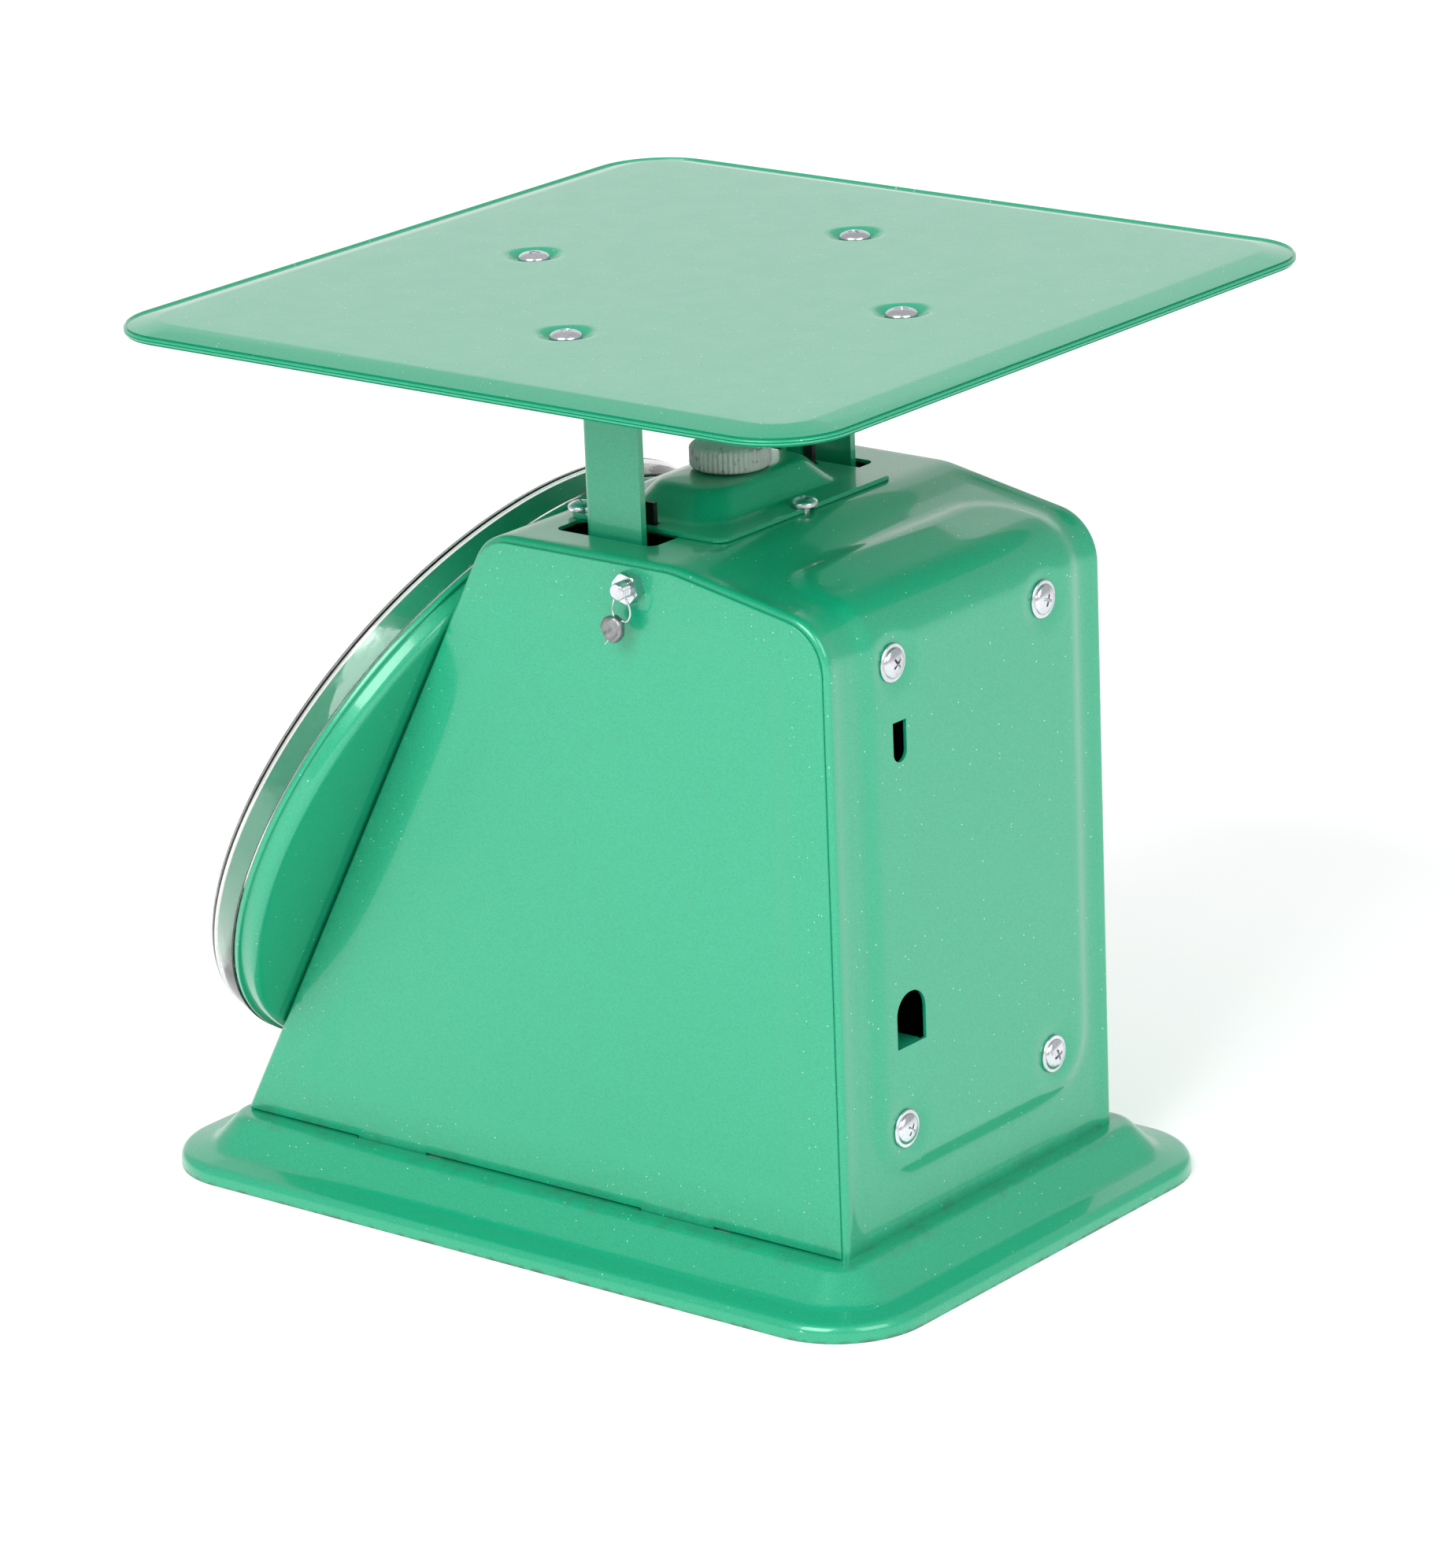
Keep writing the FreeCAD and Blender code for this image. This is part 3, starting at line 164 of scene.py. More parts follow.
def metal(name, colour, roughness, grain=1800.0, brushed=None, spots=None, bump=0.00004):
    """A bare metal with drifting tone, fine grain and, where given, a brushed direction and rust spots."""
    look = Look(name)
    dark = tuple(c * 0.62 for c in colour[:3]) + (1.0,)
    drift = look.noise(70.0, 5.0, 0.6)
    fine = look.noise(grain, 3.0, 0.6, brushed)
    tone = look.mix(look.span(drift, 0.35, 0.65, 0.0, 0.55), colour, dark)
    tone = look.mix(look.span(fine, 0.4, 0.7, 0.0, 0.35), tone, dark)
    if spots is not None:
        stain = look.math("MULTIPLY", look.span(look.noise(380.0, 5.0, 0.75), 0.58, 0.72), 0.6)
        tone = look.mix(stain, tone, spots)
    dulled = look.span(drift, 0.3, 0.7, roughness * 0.8, roughness * 1.3)
    look.set(base_color=tone, metallic=1.0, roughness=dulled)
    look.bump(fine, bump, 0.5)
    return look.material


def moulded(name, colour, roughness, dirt, dirt_share=0.5, scale=260.0):
    """Moulded plastic with a faint mottle, a matt skin and dirt caught on it."""
    look = Look(name)
    shade = tuple(c * 0.78 for c in colour[:3]) + (1.0,)
    tone = look.mix(look.span(look.noise(120.0, 4.0), 0.35, 0.65, 0.0, 0.6), colour, shade)
    marks = look.math("MULTIPLY", look.span(look.noise(scale, 6.0, 0.7), 0.56, 0.68), dirt_share)
    tone = look.mix(marks, tone, dirt)
    look.set(base_color=tone, roughness=look.span(look.noise(300.0), 0.3, 0.7, roughness, roughness + 0.18))
    look.bump(look.noise(1500.0, 2.0), 0.00003, 0.5)
    return look.material


def printed(name, colour, tint):
    """Printed or lacquered sheet: an even coat with a slight mottle and a soft sheen."""
    look = Look(name)
    tone = look.mix(look.span(look.noise(45.0, 5.0), 0.3, 0.7, 0.0, 0.5), colour, tint)
    tone = look.mix(look.math("MULTIPLY", look.specks(300.0, 0.05, 0.1), 0.3), tone, (0.35, 0.33, 0.28, 1.0))
    look.set(base_color=tone, roughness=look.span(look.noise(200.0), 0.3, 0.7, 0.3, 0.42), coat_weight=0.3)
    look.bump(look.noise(900.0, 2.0), 0.00002, 0.4)
    return look.material


def acrylic(name):
    """Clear moulded acrylic: faint haze, fine scratches along the skirt and a slight warm tint."""
    look = Look(name)
    scratch = look.noise(420.0, 4.0, 0.6, (0.15, 1.0, 1.0))
    look.set(base_color=look.mix(look.noise(30.0), (0.90, 0.93, 0.90, 1.0), (0.97, 0.98, 0.97, 1.0)))
    look.set(transmission_weight=1.0, ior=1.49)
    look.set(roughness=look.span(scratch, 0.45, 0.75, 0.03, 0.2))
    look.bump(scratch, 0.00003, 0.3)
    return look.material


GREEN = enamel("green_enamel")
GREEN_BASE = enamel("green_enamel_base", wear_below=0.0016)
ZINC = metal("zinc_plate", (0.72, 0.74, 0.78, 1.0), 0.2, spots=(0.30, 0.27, 0.20, 1.0))
PLAIN = metal("plain_steel", (0.42, 0.42, 0.41, 1.0), 0.38, spots=(0.16, 0.09, 0.05, 1.0))
BLACK = metal("black_steel", (0.055, 0.055, 0.06, 1.0), 0.42, spots=(0.10, 0.07, 0.05, 1.0))
SPRING = metal("spring_steel", (0.30, 0.31, 0.33, 1.0), 0.3, grain=900.0)
BRASS = metal("brass", (0.72, 0.50, 0.20, 1.0), 0.26, spots=(0.25, 0.14, 0.05, 1.0))
BRIGHT = metal("bright_steel", (0.66, 0.67, 0.69, 1.0), 0.18, brushed=(0.1, 1.0, 1.0))
LEAD = metal("lead", (0.34, 0.34, 0.35, 1.0), 0.45, grain=700.0, spots=(0.10, 0.10, 0.10, 1.0), bump=0.0002)
GREY = moulded("grey_plastic", (0.52, 0.55, 0.53, 1.0), 0.42, (0.05, 0.045, 0.04, 1.0), 0.7, 420.0)
WHITE = printed("dial_white", (0.91, 0.91, 0.88, 1.0), (0.85, 0.84, 0.80, 1.0))
INK = printed("dial_black", (0.012, 0.012, 0.014, 1.0), (0.03, 0.03, 0.03, 1.0))
CLEAR = acrylic("clear_acrylic")

SLOT_LOOKS = {
    "green_paint": GREEN,
    "zinc_steel": ZINC,
    "plain_steel": PLAIN,
    "black_steel": BLACK,
    "spring_steel": SPRING,
    "brass": BRASS,
    "bright_steel": BRIGHT,
    "lead": LEAD,
    "grey_plastic": GREY,
    "dial_white": WHITE,
    "pointer_black": INK,
    "clear_acrylic": CLEAR,
}


def node_slots():
    """The record's material slot of each CAD node."""
    return {part["node"]: part["material_slot"] for part in frame["record"]["subparts"]}


# ---------------------------------------------------------------- mesh helpers
def rounded(corners, closed=True, step=0.22):
    """Points of an outline. A corner is (a, b) or (a, b, radius), and a radius becomes an arc."""
    count = len(corners)
    points = []
    for i, corner in enumerate(corners):
        here = Vector(corner[:2])
        if len(corner) < 3 or (not closed and i in (0, count - 1)):
            points.append(here)
            continue
        back = (Vector(corners[i - 1][:2]) - here).normalized()
        ahead = (Vector(corners[(i + 1) % count][:2]) - here).normalized()
        half = back.angle(ahead) / 2
        radius = corner[2]
        reach = radius / math.tan(half)
        centre = here + (back + ahead).normalized() * (radius / math.sin(half))
        first = here + back * reach - centre
        last = here + ahead * reach - centre
        turn = first.angle_signed(last)
        steps = max(3, math.ceil(abs(turn) / step))
        for k in range(steps + 1):
            angle = -turn * k / steps
            spun = Matrix.Rotation(angle, 2) @ first
            points.append(centre + spun)
    return points


def scaled(*corners):
    """Corners given in millimetres, as metres."""
    return [tuple(v * MM for v in corner) for corner in corners]


def dense(points, pitch, closed=False):
    """The same line with no gap between points wider than pitch."""
    out = []
    ends = points[1:] + points[:1] if closed else points[1:]
    for a, b in zip(points, ends):
        if (b - a).length < 1e-9:
            continue
        pieces = max(1, math.ceil((b - a).length / pitch))
        out += [a.lerp(b, k / pieces) for k in range(pieces)]
    return out if closed else out + [points[-1]]


def skin(bm, rows, loop=False, wrap=False):
    """Quads between rows of points. loop closes each row on itself, wrap joins the last row to the first."""
    grid = [[bm.verts.new(p) for p in row] for row in rows]
    pairs = list(zip(grid, grid[1:]))
    if wrap:
        pairs.append((grid[-1], grid[0]))
    for low, high in pairs:
        if len(low) == 1 or len(high) == 1:
            tip, ring = (low[0], high) if len(low) == 1 else (high[0], low)
            for a, b in zip(ring, ring[1:] + ring[:1]):
                bm.faces.new((tip, a, b))
            continue
        columns = len(low) if loop else len(low) - 1
        for k in range(columns):
            n = (k + 1) % len(low)
            bm.faces.new((low[k], low[n], high[n], high[k]))
    return grid


def lathe(bm, profile, at=None, count=64, closed=False):
    """Turns (radius, height) points about the Z axis of the matrix at."""
    at = at or Matrix.Identity(4)
    rows = []
    for radius, height in profile:
        if radius < 1e-7:
            rows.append([at @ Vector((0, 0, height))])
            continue
        spin = [2 * math.pi * k / count for k in range(count)]
        rows.append([at @ Vector((radius * math.cos(a), radius * math.sin(a), height)) for a in spin])
    skin(bm, rows, loop=True, wrap=closed)


def prism(bm, outline, low, high, at=None, taper=1.0):
    """A closed prism on an outline, from low to high along the Z axis of the matrix at."""
    at = at or Matrix.Identity(4)
    middle = sum((Vector(p[:2]) for p in outline), Vector((0, 0))) / len(outline)
    ends = []
    for level, share in ((low, taper), (high, 1.0)):
        ring = [middle + (Vector(p[:2]) - middle) * share for p in outline]
        ends.append([bm.verts.new(at @ Vector((p.x, p.y, level))) for p in ring])
    bm.faces.new(ends[0][::-1])
    bm.faces.new(ends[1])
    for k in range(len(outline)):
        n = (k + 1) % len(outline)
        bm.faces.new((ends[0][k], ends[0][n], ends[1][n], ends[1][k]))


def rectangle(x0, x1, y0, y1, radius=None):
    corners = [(x0, y0), (x1, y0), (x1, y1), (x0, y1)]
    if radius is not None:
        corners = [c + (radius,) for c in corners]
    return rounded(corners)


def circle(radius, x, y, count=36):
    turns = [2 * math.pi * k / count for k in range(count)]
    return [(x + radius * math.cos(a), y + radius * math.sin(a)) for a in turns]


def square_ring(half_x, half_y, corner, level, middle_y):
    """A rounded rectangle as a closed row of points at one height, always with the same number of points."""
    corner = max(corner, 0.0004)
    points = []
    for sx, sy, start in ((1, 1, 0.0), (-1, 1, 90.0), (-1, -1, 180.0), (1, -1, 270.0)):
        for k in range(17):
            angle = math.radians(start + 90.0 * k / 16)
            x = sx * (half_x - corner) + corner * math.cos(angle)
            y = sy * (half_y - corner) + corner * math.sin(angle)
            points.append(Vector((x, y + middle_y, level)))
    return points


def slices(bm, axis, levels):
    """Cuts every face at the given heights along an axis, so that soft shapes have points to move."""
    normal = Vector([1.0 if k == axis else 0.0 for k in range(3)])
    for level in levels:
        everything = bm.verts[:] + bm.edges[:] + bm.faces[:]
        bmesh.ops.bisect_plane(bm, geom=everything, dist=1e-7, plane_co=normal * level, plane_no=normal)


def steps(low, high, pitch):
    count = max(1, round((high - low) / pitch))
    return [low + (high - low) * k / count for k in range(1, count)]


def dense_range(start, stop, pitch):
    """The points between start and stop, without the two ends."""
    count = max(1, math.ceil(abs(stop - start) / pitch))
    return [start + (stop - start) * k / count for k in range(1, count)]


def smooth(value, low, high):
    """0 below low, 1 above high, with a soft change between."""
    t = min(max((value - low) / (high - low), 0.0), 1.0)
    return t * t * (3 - 2 * t)


def rounded_box_depth(x, y, half_x, half_y, corner):
    """Signed distance into a rounded rectangle: positive inside."""
    qx = abs(x) - (half_x - corner)
    qy = abs(y) - (half_y - corner)
    outside = math.hypot(max(qx, 0.0), max(qy, 0.0))
    return corner - outside - min(max(qx, qy), 0.0)


def new_object(name, bm, facing_up=False):
    """Makes the mesh an object. facing_up is for an open shell, whose outside is then its top."""
    bmesh.ops.remove_doubles(bm, verts=bm.verts, dist=1e-7)
    bmesh.ops.recalc_face_normals(bm, faces=bm.faces)
    if facing_up and sum(f.normal.z * f.calc_area() for f in bm.faces) < 0:
        bmesh.ops.reverse_faces(bm, faces=bm.faces)
    mesh = bpy.data.meshes.new(name)
    bm.to_mesh(mesh)
    bm.free()
    obj = bpy.data.objects.new(name, mesh)
    bpy.context.scene.collection.objects.link(obj)
    return obj


def applied(obj, kind, **settings):
    """Adds a modifier to obj and bakes it into the mesh."""
    modifier = obj.modifiers.new(kind.lower(), kind)
    for key, value in settings.items():
        setattr(modifier, key, value)
    graph = bpy.context.evaluated_depsgraph_get()
    made = bpy.data.meshes.new_from_object(obj.evaluated_get(graph))
    obj.modifiers.clear()
    old = obj.data
    obj.data = made
    bpy.data.meshes.remove(old)
    return obj


def drilled(obj, tools):
    """Cuts closed prisms out of obj. Each tool is (outline, low, high, matrix)."""
    bm = bmesh.new()
    for outline, low, high, at in tools:
        prism(bm, outline, low, high, at)
    cutter = new_object("cutter", bm)
    applied(obj, "BOOLEAN", operation="DIFFERENCE", solver="EXACT", object=cutter)
    bpy.data.objects.remove(cutter)
    return obj


def softened(obj, width, segments=2, angle=32.0):
    return applied(
        obj, "BEVEL", width=width, segments=segments, limit_method="ANGLE",
        angle_limit=math.radians(angle), harden_normals=False,
    )


def dressed(obj, look, body, nodes=(), sharp=38.0):
    """Gives a finished piece its shading, material and body, and hides the CAD nodes that it stands for."""
    obj.data.shade_smooth()
    obj.data.set_sharp_from_angle(angle=math.radians(sharp))
    obj.data.materials.clear()
    obj.data.materials.append(look)
    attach(obj, body)
    if nodes:
        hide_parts(*nodes)
    return obj


def curve_mesh(curve):
    """The mesh that a curve or a text makes."""
    holder = bpy.data.objects.new(curve.name + "_holder", curve)
    bpy.context.scene.collection.objects.link(holder)
    graph = bpy.context.evaluated_depsgraph_get()
    mesh = bpy.data.meshes.new_from_object(holder.evaluated_get(graph))
    bpy.data.objects.remove(holder)
    return mesh


def plate(name, loops, low, high, edge, at=None):
    """A sheet on an outline and its holes, from low to high along the Z axis of at, with rounded edges."""
    curve = bpy.data.curves.new(name + "_outline", "CURVE")
    curve.dimensions = "2D"
    curve.fill_mode = "BOTH"
    curve.extrude = (high - low) / 2 - edge
    curve.bevel_depth = edge
    curve.bevel_resolution = 2
    curve.offset = -edge
    for loop in loops:
        spline = curve.splines.new("POLY")
        spline.points.add(len(loop) - 1)
        for point, place in zip(spline.points, loop):
            point.co = (place[0], place[1], 0.0, 1.0)
        spline.use_cyclic_u = True
    mesh = curve_mesh(curve)
    bm = bmesh.new()
    bm.from_mesh(mesh)
    bpy.data.meshes.remove(mesh)
    bmesh.ops.transform(bm, matrix=Matrix.Translation((0, 0, (low + high) / 2)), verts=bm.verts)
    bmesh.ops.transform(bm, matrix=at or Matrix.Identity(4), verts=bm.verts)
    return bm


def centre(node):
    low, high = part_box(node)
    return (low + high) / 2


# ---------------------------------------------------------------- frames of the part
TILT = math.radians(28.3)
FRONT_Y, FRONT_Z = -0.0614, 0.110
DIAL_AT = Matrix.Translation((0, FRONT_Y, FRONT_Z)) @ Matrix.Rotation(math.pi / 2 - TILT, 4, "X")
SIDE_AT = Matrix(((0, 0, 1, 0), (1, 0, 0, 0), (0, 1, 0, 0), (0, 0, 0, 1)))
BACK_AT = Matrix(((1, 0, 0, 0), (0, 0, 1, 0), (0, 1, 0, 0), (0, 0, 0, 1)))
HOOD_LOW, HOOD_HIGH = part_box("hood")
STEEL = 1.0 * MM
TRAY_SCREW_RING = 65.0 * MM
TRAY_DIMPLE = 2.0 * MM
# Each screw of the bracket: x and y in millimetres, the way its notch opens, and its cross's turn in degrees.
BRACKET_SCREWS = ((-35.0, 2.2, -1, 10.0), (35.0, 2.2, -1, 50.0), (0.0, 53.6, 1, 30.0))
# Each screw of the back: x and z in millimetres, and its cross's turn in degrees.
BACK_SCREWS = ((-35.0, 45.0, 20.0), (35.0, 45.0, 55.0), (-35.0, 180.0, 70.0), (35.0, 180.0, 40.0))
TAB_SLOT_Y = (25.6 * MM, 30.4 * MM)
TOP_CUT = (0.19, 0.22)
BACK_CUT = (0.100, 0.114)
DIAL_PRINT = (7.95 * MM, 8.06 * MM)


def case_profile(inset, bottom, rear_round):
    """Side profile (y, z) of the case, from the front bottom over the top to the rear bottom."""
    top = HOOD_HIGH.z - inset
    rear = HOOD_HIGH.y - inset
    crease = 56.8 * MM

    def front(height):
        return FRONT_Y + (height - FRONT_Z) * math.tan(TILT) + inset / math.cos(TILT)

    rear_top = top - (rear - crease) * math.tan(math.radians(10.8))
    return [
        (front(bottom), bottom),
        (front(top), top, 14.0 * MM - inset),
        (crease, top, 30.0 * MM),
        (rear, rear_top, rear_round),
        (rear, bottom),
    ]


# ---------------------------------------------------------------- base pan
def make_base():
    low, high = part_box("base_pan")
    half_x = (high.x - low.x) / 2
    half_y = (high.y - low.y) / 2
    corner = 27.0 * MM
    section = rounded(
        [
            (0.0, 0.0),
            (0.0, 5.0 * MM, 2.9 * MM),
            (9.5 * MM, 6.2 * MM, 5.0 * MM),
            (18.0 * MM, high.z, 4.0 * MM),
            (26.0 * MM, high.z),
        ],
        closed=False,
    )
    rows = []
    for inset, level in section:
        rows.append(square_ring(half_x - inset, half_y - inset, corner - inset, level, 0.0))
    bm = bmesh.new()
    grid = skin(bm, rows, loop=True)
    bm.faces.new(grid[-1])
    obj = new_object("base_shell", bm, facing_up=True)
    applied(obj, "SOLIDIFY", thickness=STEEL, offset=-1.0, use_even_offset=True)
    outer = HOOD_HIGH.x
    tools = []
    for side in (-1, 1):
        for first, last in ((-68.9, -36.9), (36.2, 68.7)):
            near, far = sorted((side * (outer - 0.6 * MM), side * (outer + 1.6 * MM)))
            slot = rectangle(near, far, first * MM, last * MM)
            tools.append((slot, 0.010, 0.020, None))
    drilled(obj, tools)
    dressed(obj, GREEN_BASE, "housing", ["base_pan"])


# ---------------------------------------------------------------- hood
def make_hood():
    half = HOOD_HIGH.x
    shoulder = 1.9 * MM
    flange = 13.0 * MM
    outline = dense(rounded(case_profile(0.0, HOOD_LOW.z, 15.0 * MM), closed=False, step=0.12), 2.6 * MM)
    inward = []
    for i, here in enumerate(outline):
        along = (outline[min(i + 1, len(outline) - 1)] - outline[max(i - 1, 0)]).normalized()
        inward.append(Vector((along.y, -along.x)))
    run = [0.0]
    for a, b in zip(outline, outline[1:]):
        run.append(run[-1] + (b - a).length)
    top_edge = min(r for r, p in zip(run, outline) if p.x > 77.0 * MM)
    bottom_edge = min(r for r, p in zip(run, outline) if p.x > 108.0 * MM and p.y < 34.5 * MM)
    field_x = (-51.0 * MM, 46.5 * MM)
    screws = [(x * MM, z * MM) for x, z, _ in BACK_SCREWS]

    def depth(x, station):
        """How far the sheet is pressed in: a border left round a raised field, and a dimple at each screw."""
        y, z = outline[station]
        across = x - sum(field_x) / 2
        down = run[station] - (top_edge + bottom_edge) / 2
        inside = rounded_box_depth(
            across, down, (field_x[1] - field_x[0]) / 2, (bottom_edge - top_edge) / 2, 15.0 * MM
        )
        rise = smooth(inside, -2.4 * MM, 2.4 * MM)
        near_back = smooth(y, 60.0 * MM, 72.0 * MM)
        pressed = (0.75 - 1.5 * rise) * MM * near_back
        if y > 108.0 * MM:
            reach = min(math.hypot(x - sx, z - sz) for sx, sz in screws)
            pressed *= smooth(reach, 6.0 * MM, 9.5 * MM)
        return pressed * smooth(half - abs(x), 1.0 * MM, 7.0 * MM)

    columns = [(half, flange), (half, 9.0 * MM), (half, 5.0 * MM)]
    for k in range(7):
        turn = math.radians(90.0 * k / 6)
        columns.append((half - shoulder + shoulder * math.cos(turn), shoulder - shoulder * math.sin(turn)))
    middle = [(x, 0.0) for x in dense_range(half - shoulder, -(half - shoulder), 2.4 * MM)]
    columns = columns + middle + [(-x, d) for x, d in reversed(columns)]
    rows = []
    for station, here in enumerate(outline):
        row = []
        for x, d in columns:
            p = here + inward[station] * (d + depth(x, station))
            row.append(Vector((x, p.x, p.y)))
        rows.append(row)
    bm = bmesh.new()
    skin(bm, rows)
    foot = Vector((0.0, 0.0, HOOD_LOW.z))
    everything = bm.verts[:] + bm.edges[:] + bm.faces[:]
    bmesh.ops.bisect_plane(bm, geom=everything, dist=1e-6, plane_co=foot, plane_no=UP, clear_inner=True)
    obj = new_object("hood_shell", bm, facing_up=True)
    applied(obj, "SOLIDIFY", thickness=STEEL, offset=-1.0, use_even_offset=False)
    tools = []
    for side in (-1, 1):
        x0, x1 = sorted((side * 37.5 * MM, side * 50.8 * MM))
        tools.append((rectangle(x0, x1, 5.0 * MM, 40.2 * MM, 3.0 * MM), *TOP_CUT, None))
        x0, x1 = sorted((side * 34.6 * MM, side * 37.35 * MM))
        tools.append((rectangle(x0, x1, *TAB_SLOT_Y), *TOP_CUT, None))
    tools.append((circle(6.0 * MM, 0.0, 28.0 * MM), *TOP_CUT, None))
    slot = rounded(scaled((30.2, 151.3, 2.9), (36.2, 151.3, 2.9), (36.2, 163.0), (30.2, 163.0)))
    arch = rounded(scaled((25.2, 69.0), (38.3, 69.0), (38.3, 84.6, 6.3), (25.2, 84.6, 6.3)))
    tools.append((slot, *BACK_CUT, BACK_AT))
    tools.append((arch, *BACK_CUT, BACK_AT))
    drilled(obj, tools)
    dressed(obj, GREEN, "housing", ["hood"])

    bm = bmesh.new()
    ledge = rectangle(25.9 * MM, 37.6 * MM, 96.5 * MM, 108.6 * MM, 1.6 * MM)
    prism(bm, ledge, 67.9 * MM, 68.9 * MM)
    fold = rectangle(30.6 * MM, 35.8 * MM, 97.0 * MM, 108.4 * MM, 1.6 * MM)
    prism(bm, fold, 163.1 * MM, 164.1 * MM)
    folds = softened(new_object("hood_folded_tabs", bm), 0.25 * MM)
    dressed(folds, GREEN, "housing")


# ---------------------------------------------------------------- side plates
def outline_depth(point, outline):
    """Distance from a point inside a closed outline to its nearest edge."""
    best = 1.0
    for a, b in zip(outline, outline[1:] + outline[:1]):
        run = b - a
        if run.length < 1e-9:
            continue
        t = min(max((point - a).dot(run) / run.length_squared, 0.0), 1.0)
        best = min(best, (a + run * t - point).length)
    return best


def make_side_plates():
    for side, name in ((1, "side_plate_right"), (-1, "side_plate_left")):
        low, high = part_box(name)
        bottom = 15.4 * MM
        profile = rounded(case_profile(1.6 * MM, bottom, 14.0 * MM))
        outline = profile[:]
        tabs = [(62.9, 36.7), (-42.8, -68.4)]
        for first, last in tabs:
            for y, z in ((first, bottom), (first, low.z), (last, low.z), (last, bottom)):
                outline.append(Vector((y * MM, z)))
        bm = plate(name + "_blank", [outline], low.x, high.x, 0.28 * MM, SIDE_AT)
        slices(bm, 1, steps(low.y, high.y, 3.0 * MM))
        slices(bm, 2, steps(bottom, high.z, 3.0 * MM))
        for v in bm.verts:
            inside = outline_depth(Vector((v.co.y, v.co.z)), profile)
            if v.co.z < bottom:
                inside = 0.0
            v.co.x -= side * 0.7 * MM * smooth(inside, 12.0 * MM, 19.0 * MM)
        obj = new_object(name + "_sheet", bm)
        dressed(obj, GREEN, "housing", [name], sharp=50.0)


# ---------------------------------------------------------------- tray
def make_tray():
    low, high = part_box("platform")
    half_x = (high.x - low.x) / 2
    half_y = (high.y - low.y) / 2
    middle_y = (high.y + low.y) / 2
    corner = 22.0 * MM
    thick = 1.2 * MM
    section = rounded(
        [
            (1.0 * MM, low.z + 0.1 * MM, 0.3 * MM),
            (0.0, low.z, 0.25 * MM),
            (0.0, low.z + 0.55 * MM, 0.1 * MM),
            (0.4 * MM, low.z + 0.72 * MM),
            (0.0, low.z + 0.9 * MM, 0.1 * MM),
            (0.0, high.z - 1.9 * MM, 0.35 * MM),
            (10.0 * MM, high.z, 7.0 * MM),
            (21.0 * MM, high.z),
        ],
        closed=False,
    )
    rows = [square_ring(half_x - d, half_y - d, corner - d, z, middle_y) for d, z in section]
    bm = bmesh.new()
    grid = skin(bm, rows, loop=True)
    bm.faces.new(grid[-1])
    ring = TRAY_SCREW_RING
    spots = [(ring, middle_y), (-ring, middle_y), (0.0, middle_y + ring), (0.0, middle_y - ring)]
    near = [1.2, 2.4, 3.4, 4.2, 4.9, 5.5, 6.1, 6.7, 7.4, 8.4, 10.0]
    offsets = [0.0] + [s * n * MM for s in (-1, 1) for n in near]
    deck_x = half_x - 21.0 * MM
    deck_y = half_y - 21.0 * MM
    dimples = [c + o for c in (-ring, 0.0, ring) for o in offsets]
    slices(bm, 0, steps(-deck_x, deck_x, 8.0 * MM) + dimples)
    slices(bm, 1, steps(middle_y - deck_y, middle_y + deck_y, 8.0 * MM) + [middle_y + d for d in dimples])
    for v in bm.verts:
        if v.co.z < high.z - 0.4 * MM:
            continue
        reach = min(math.hypot(v.co.x - x, v.co.y - y) for x, y in spots)
        v.co.z -= TRAY_DIMPLE * (1.0 - smooth(reach, 5.0 * MM, 8.6 * MM))
    obj = new_object("tray_sheet", bm, facing_up=True)
    applied(obj, "SOLIDIFY", thickness=thick, offset=-1.0, use_even_offset=False)
    dressed(obj, GREEN, "carriage", ["platform"])


# ---------------------------------------------------------------- bracket and arms
def make_bracket():
    low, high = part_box("top_bracket")
    middle_y = (low.y + high.y) / 2
    outer = [
        (39.2, 27.2, 4.0, 0.0),
        (39.5, 27.5, 4.0, 0.3),
        (39.5, 27.5, 4.0, 1.05),
        (39.2, 27.2, 4.0, 1.4),
        (34.0, 21.6, 9.0, 1.4),
        (31.0, 18.6, 9.0, 1.5),
        (29.6, 17.2, 9.0, 2.1),
        (28.2, 16.0, 9.0, 3.3),
        (24.6, 13.6, 8.5, 6.9),
        (23.4, 12.5, 8.0, 8.1),
        (21.9, 11.2, 7.5, 8.75),
        (19.6, 9.4, 7.0, 9.0),
        (12.0, 6.5, 6.0, 9.0),
    ]
    inner = [
        (12.0, 6.5, 6.0, 7.8),
        (19.0, 9.0, 6.5, 7.8),
        (22.4, 11.6, 7.0, 6.9),
        (27.0, 14.9, 7.6, 2.0),
        (28.4, 16.0, 7.6, 0.6),
        (28.7, 16.2, 7.6, 0.0),
        (39.2, 27.2, 4.0, 0.0),
    ]
    bm = bmesh.new()
    for levels, top in ((outer, -1), (inner, 0)):
        rows = [square_ring(hx * MM, hy * MM, r * MM, low.z + z * MM, middle_y) for hx, hy, r, z in levels]
        bm.faces.new(skin(bm, rows, loop=True)[top])
    obj = new_object("bracket_pressing", bm)
    tools = []
    through = (low.z - 5.0 * MM, high.z + 5.0 * MM)
    for side in (-1, 1):
        x0, x1 = sorted((side * 34.6 * MM, side * 37.4 * MM))
        tools.append((rectangle(x0, x1, *TAB_SLOT_Y), *through, None))
    for x, y, outward, _ in BRACKET_SCREWS:
        y0, y1 = sorted((y - outward * 2.2, y + outward * 8.0))
        notch = rectangle((x - 2.2) * MM, (x + 2.2) * MM, y0 * MM, y1 * MM)
        tools.append((notch, *through, None))
    tools.append((circle(3.4 * MM, 0.0, middle_y), low.z, through[1], None))
    drilled(obj, tools)
    dressed(obj, GREEN, "housing", ["top_bracket"])


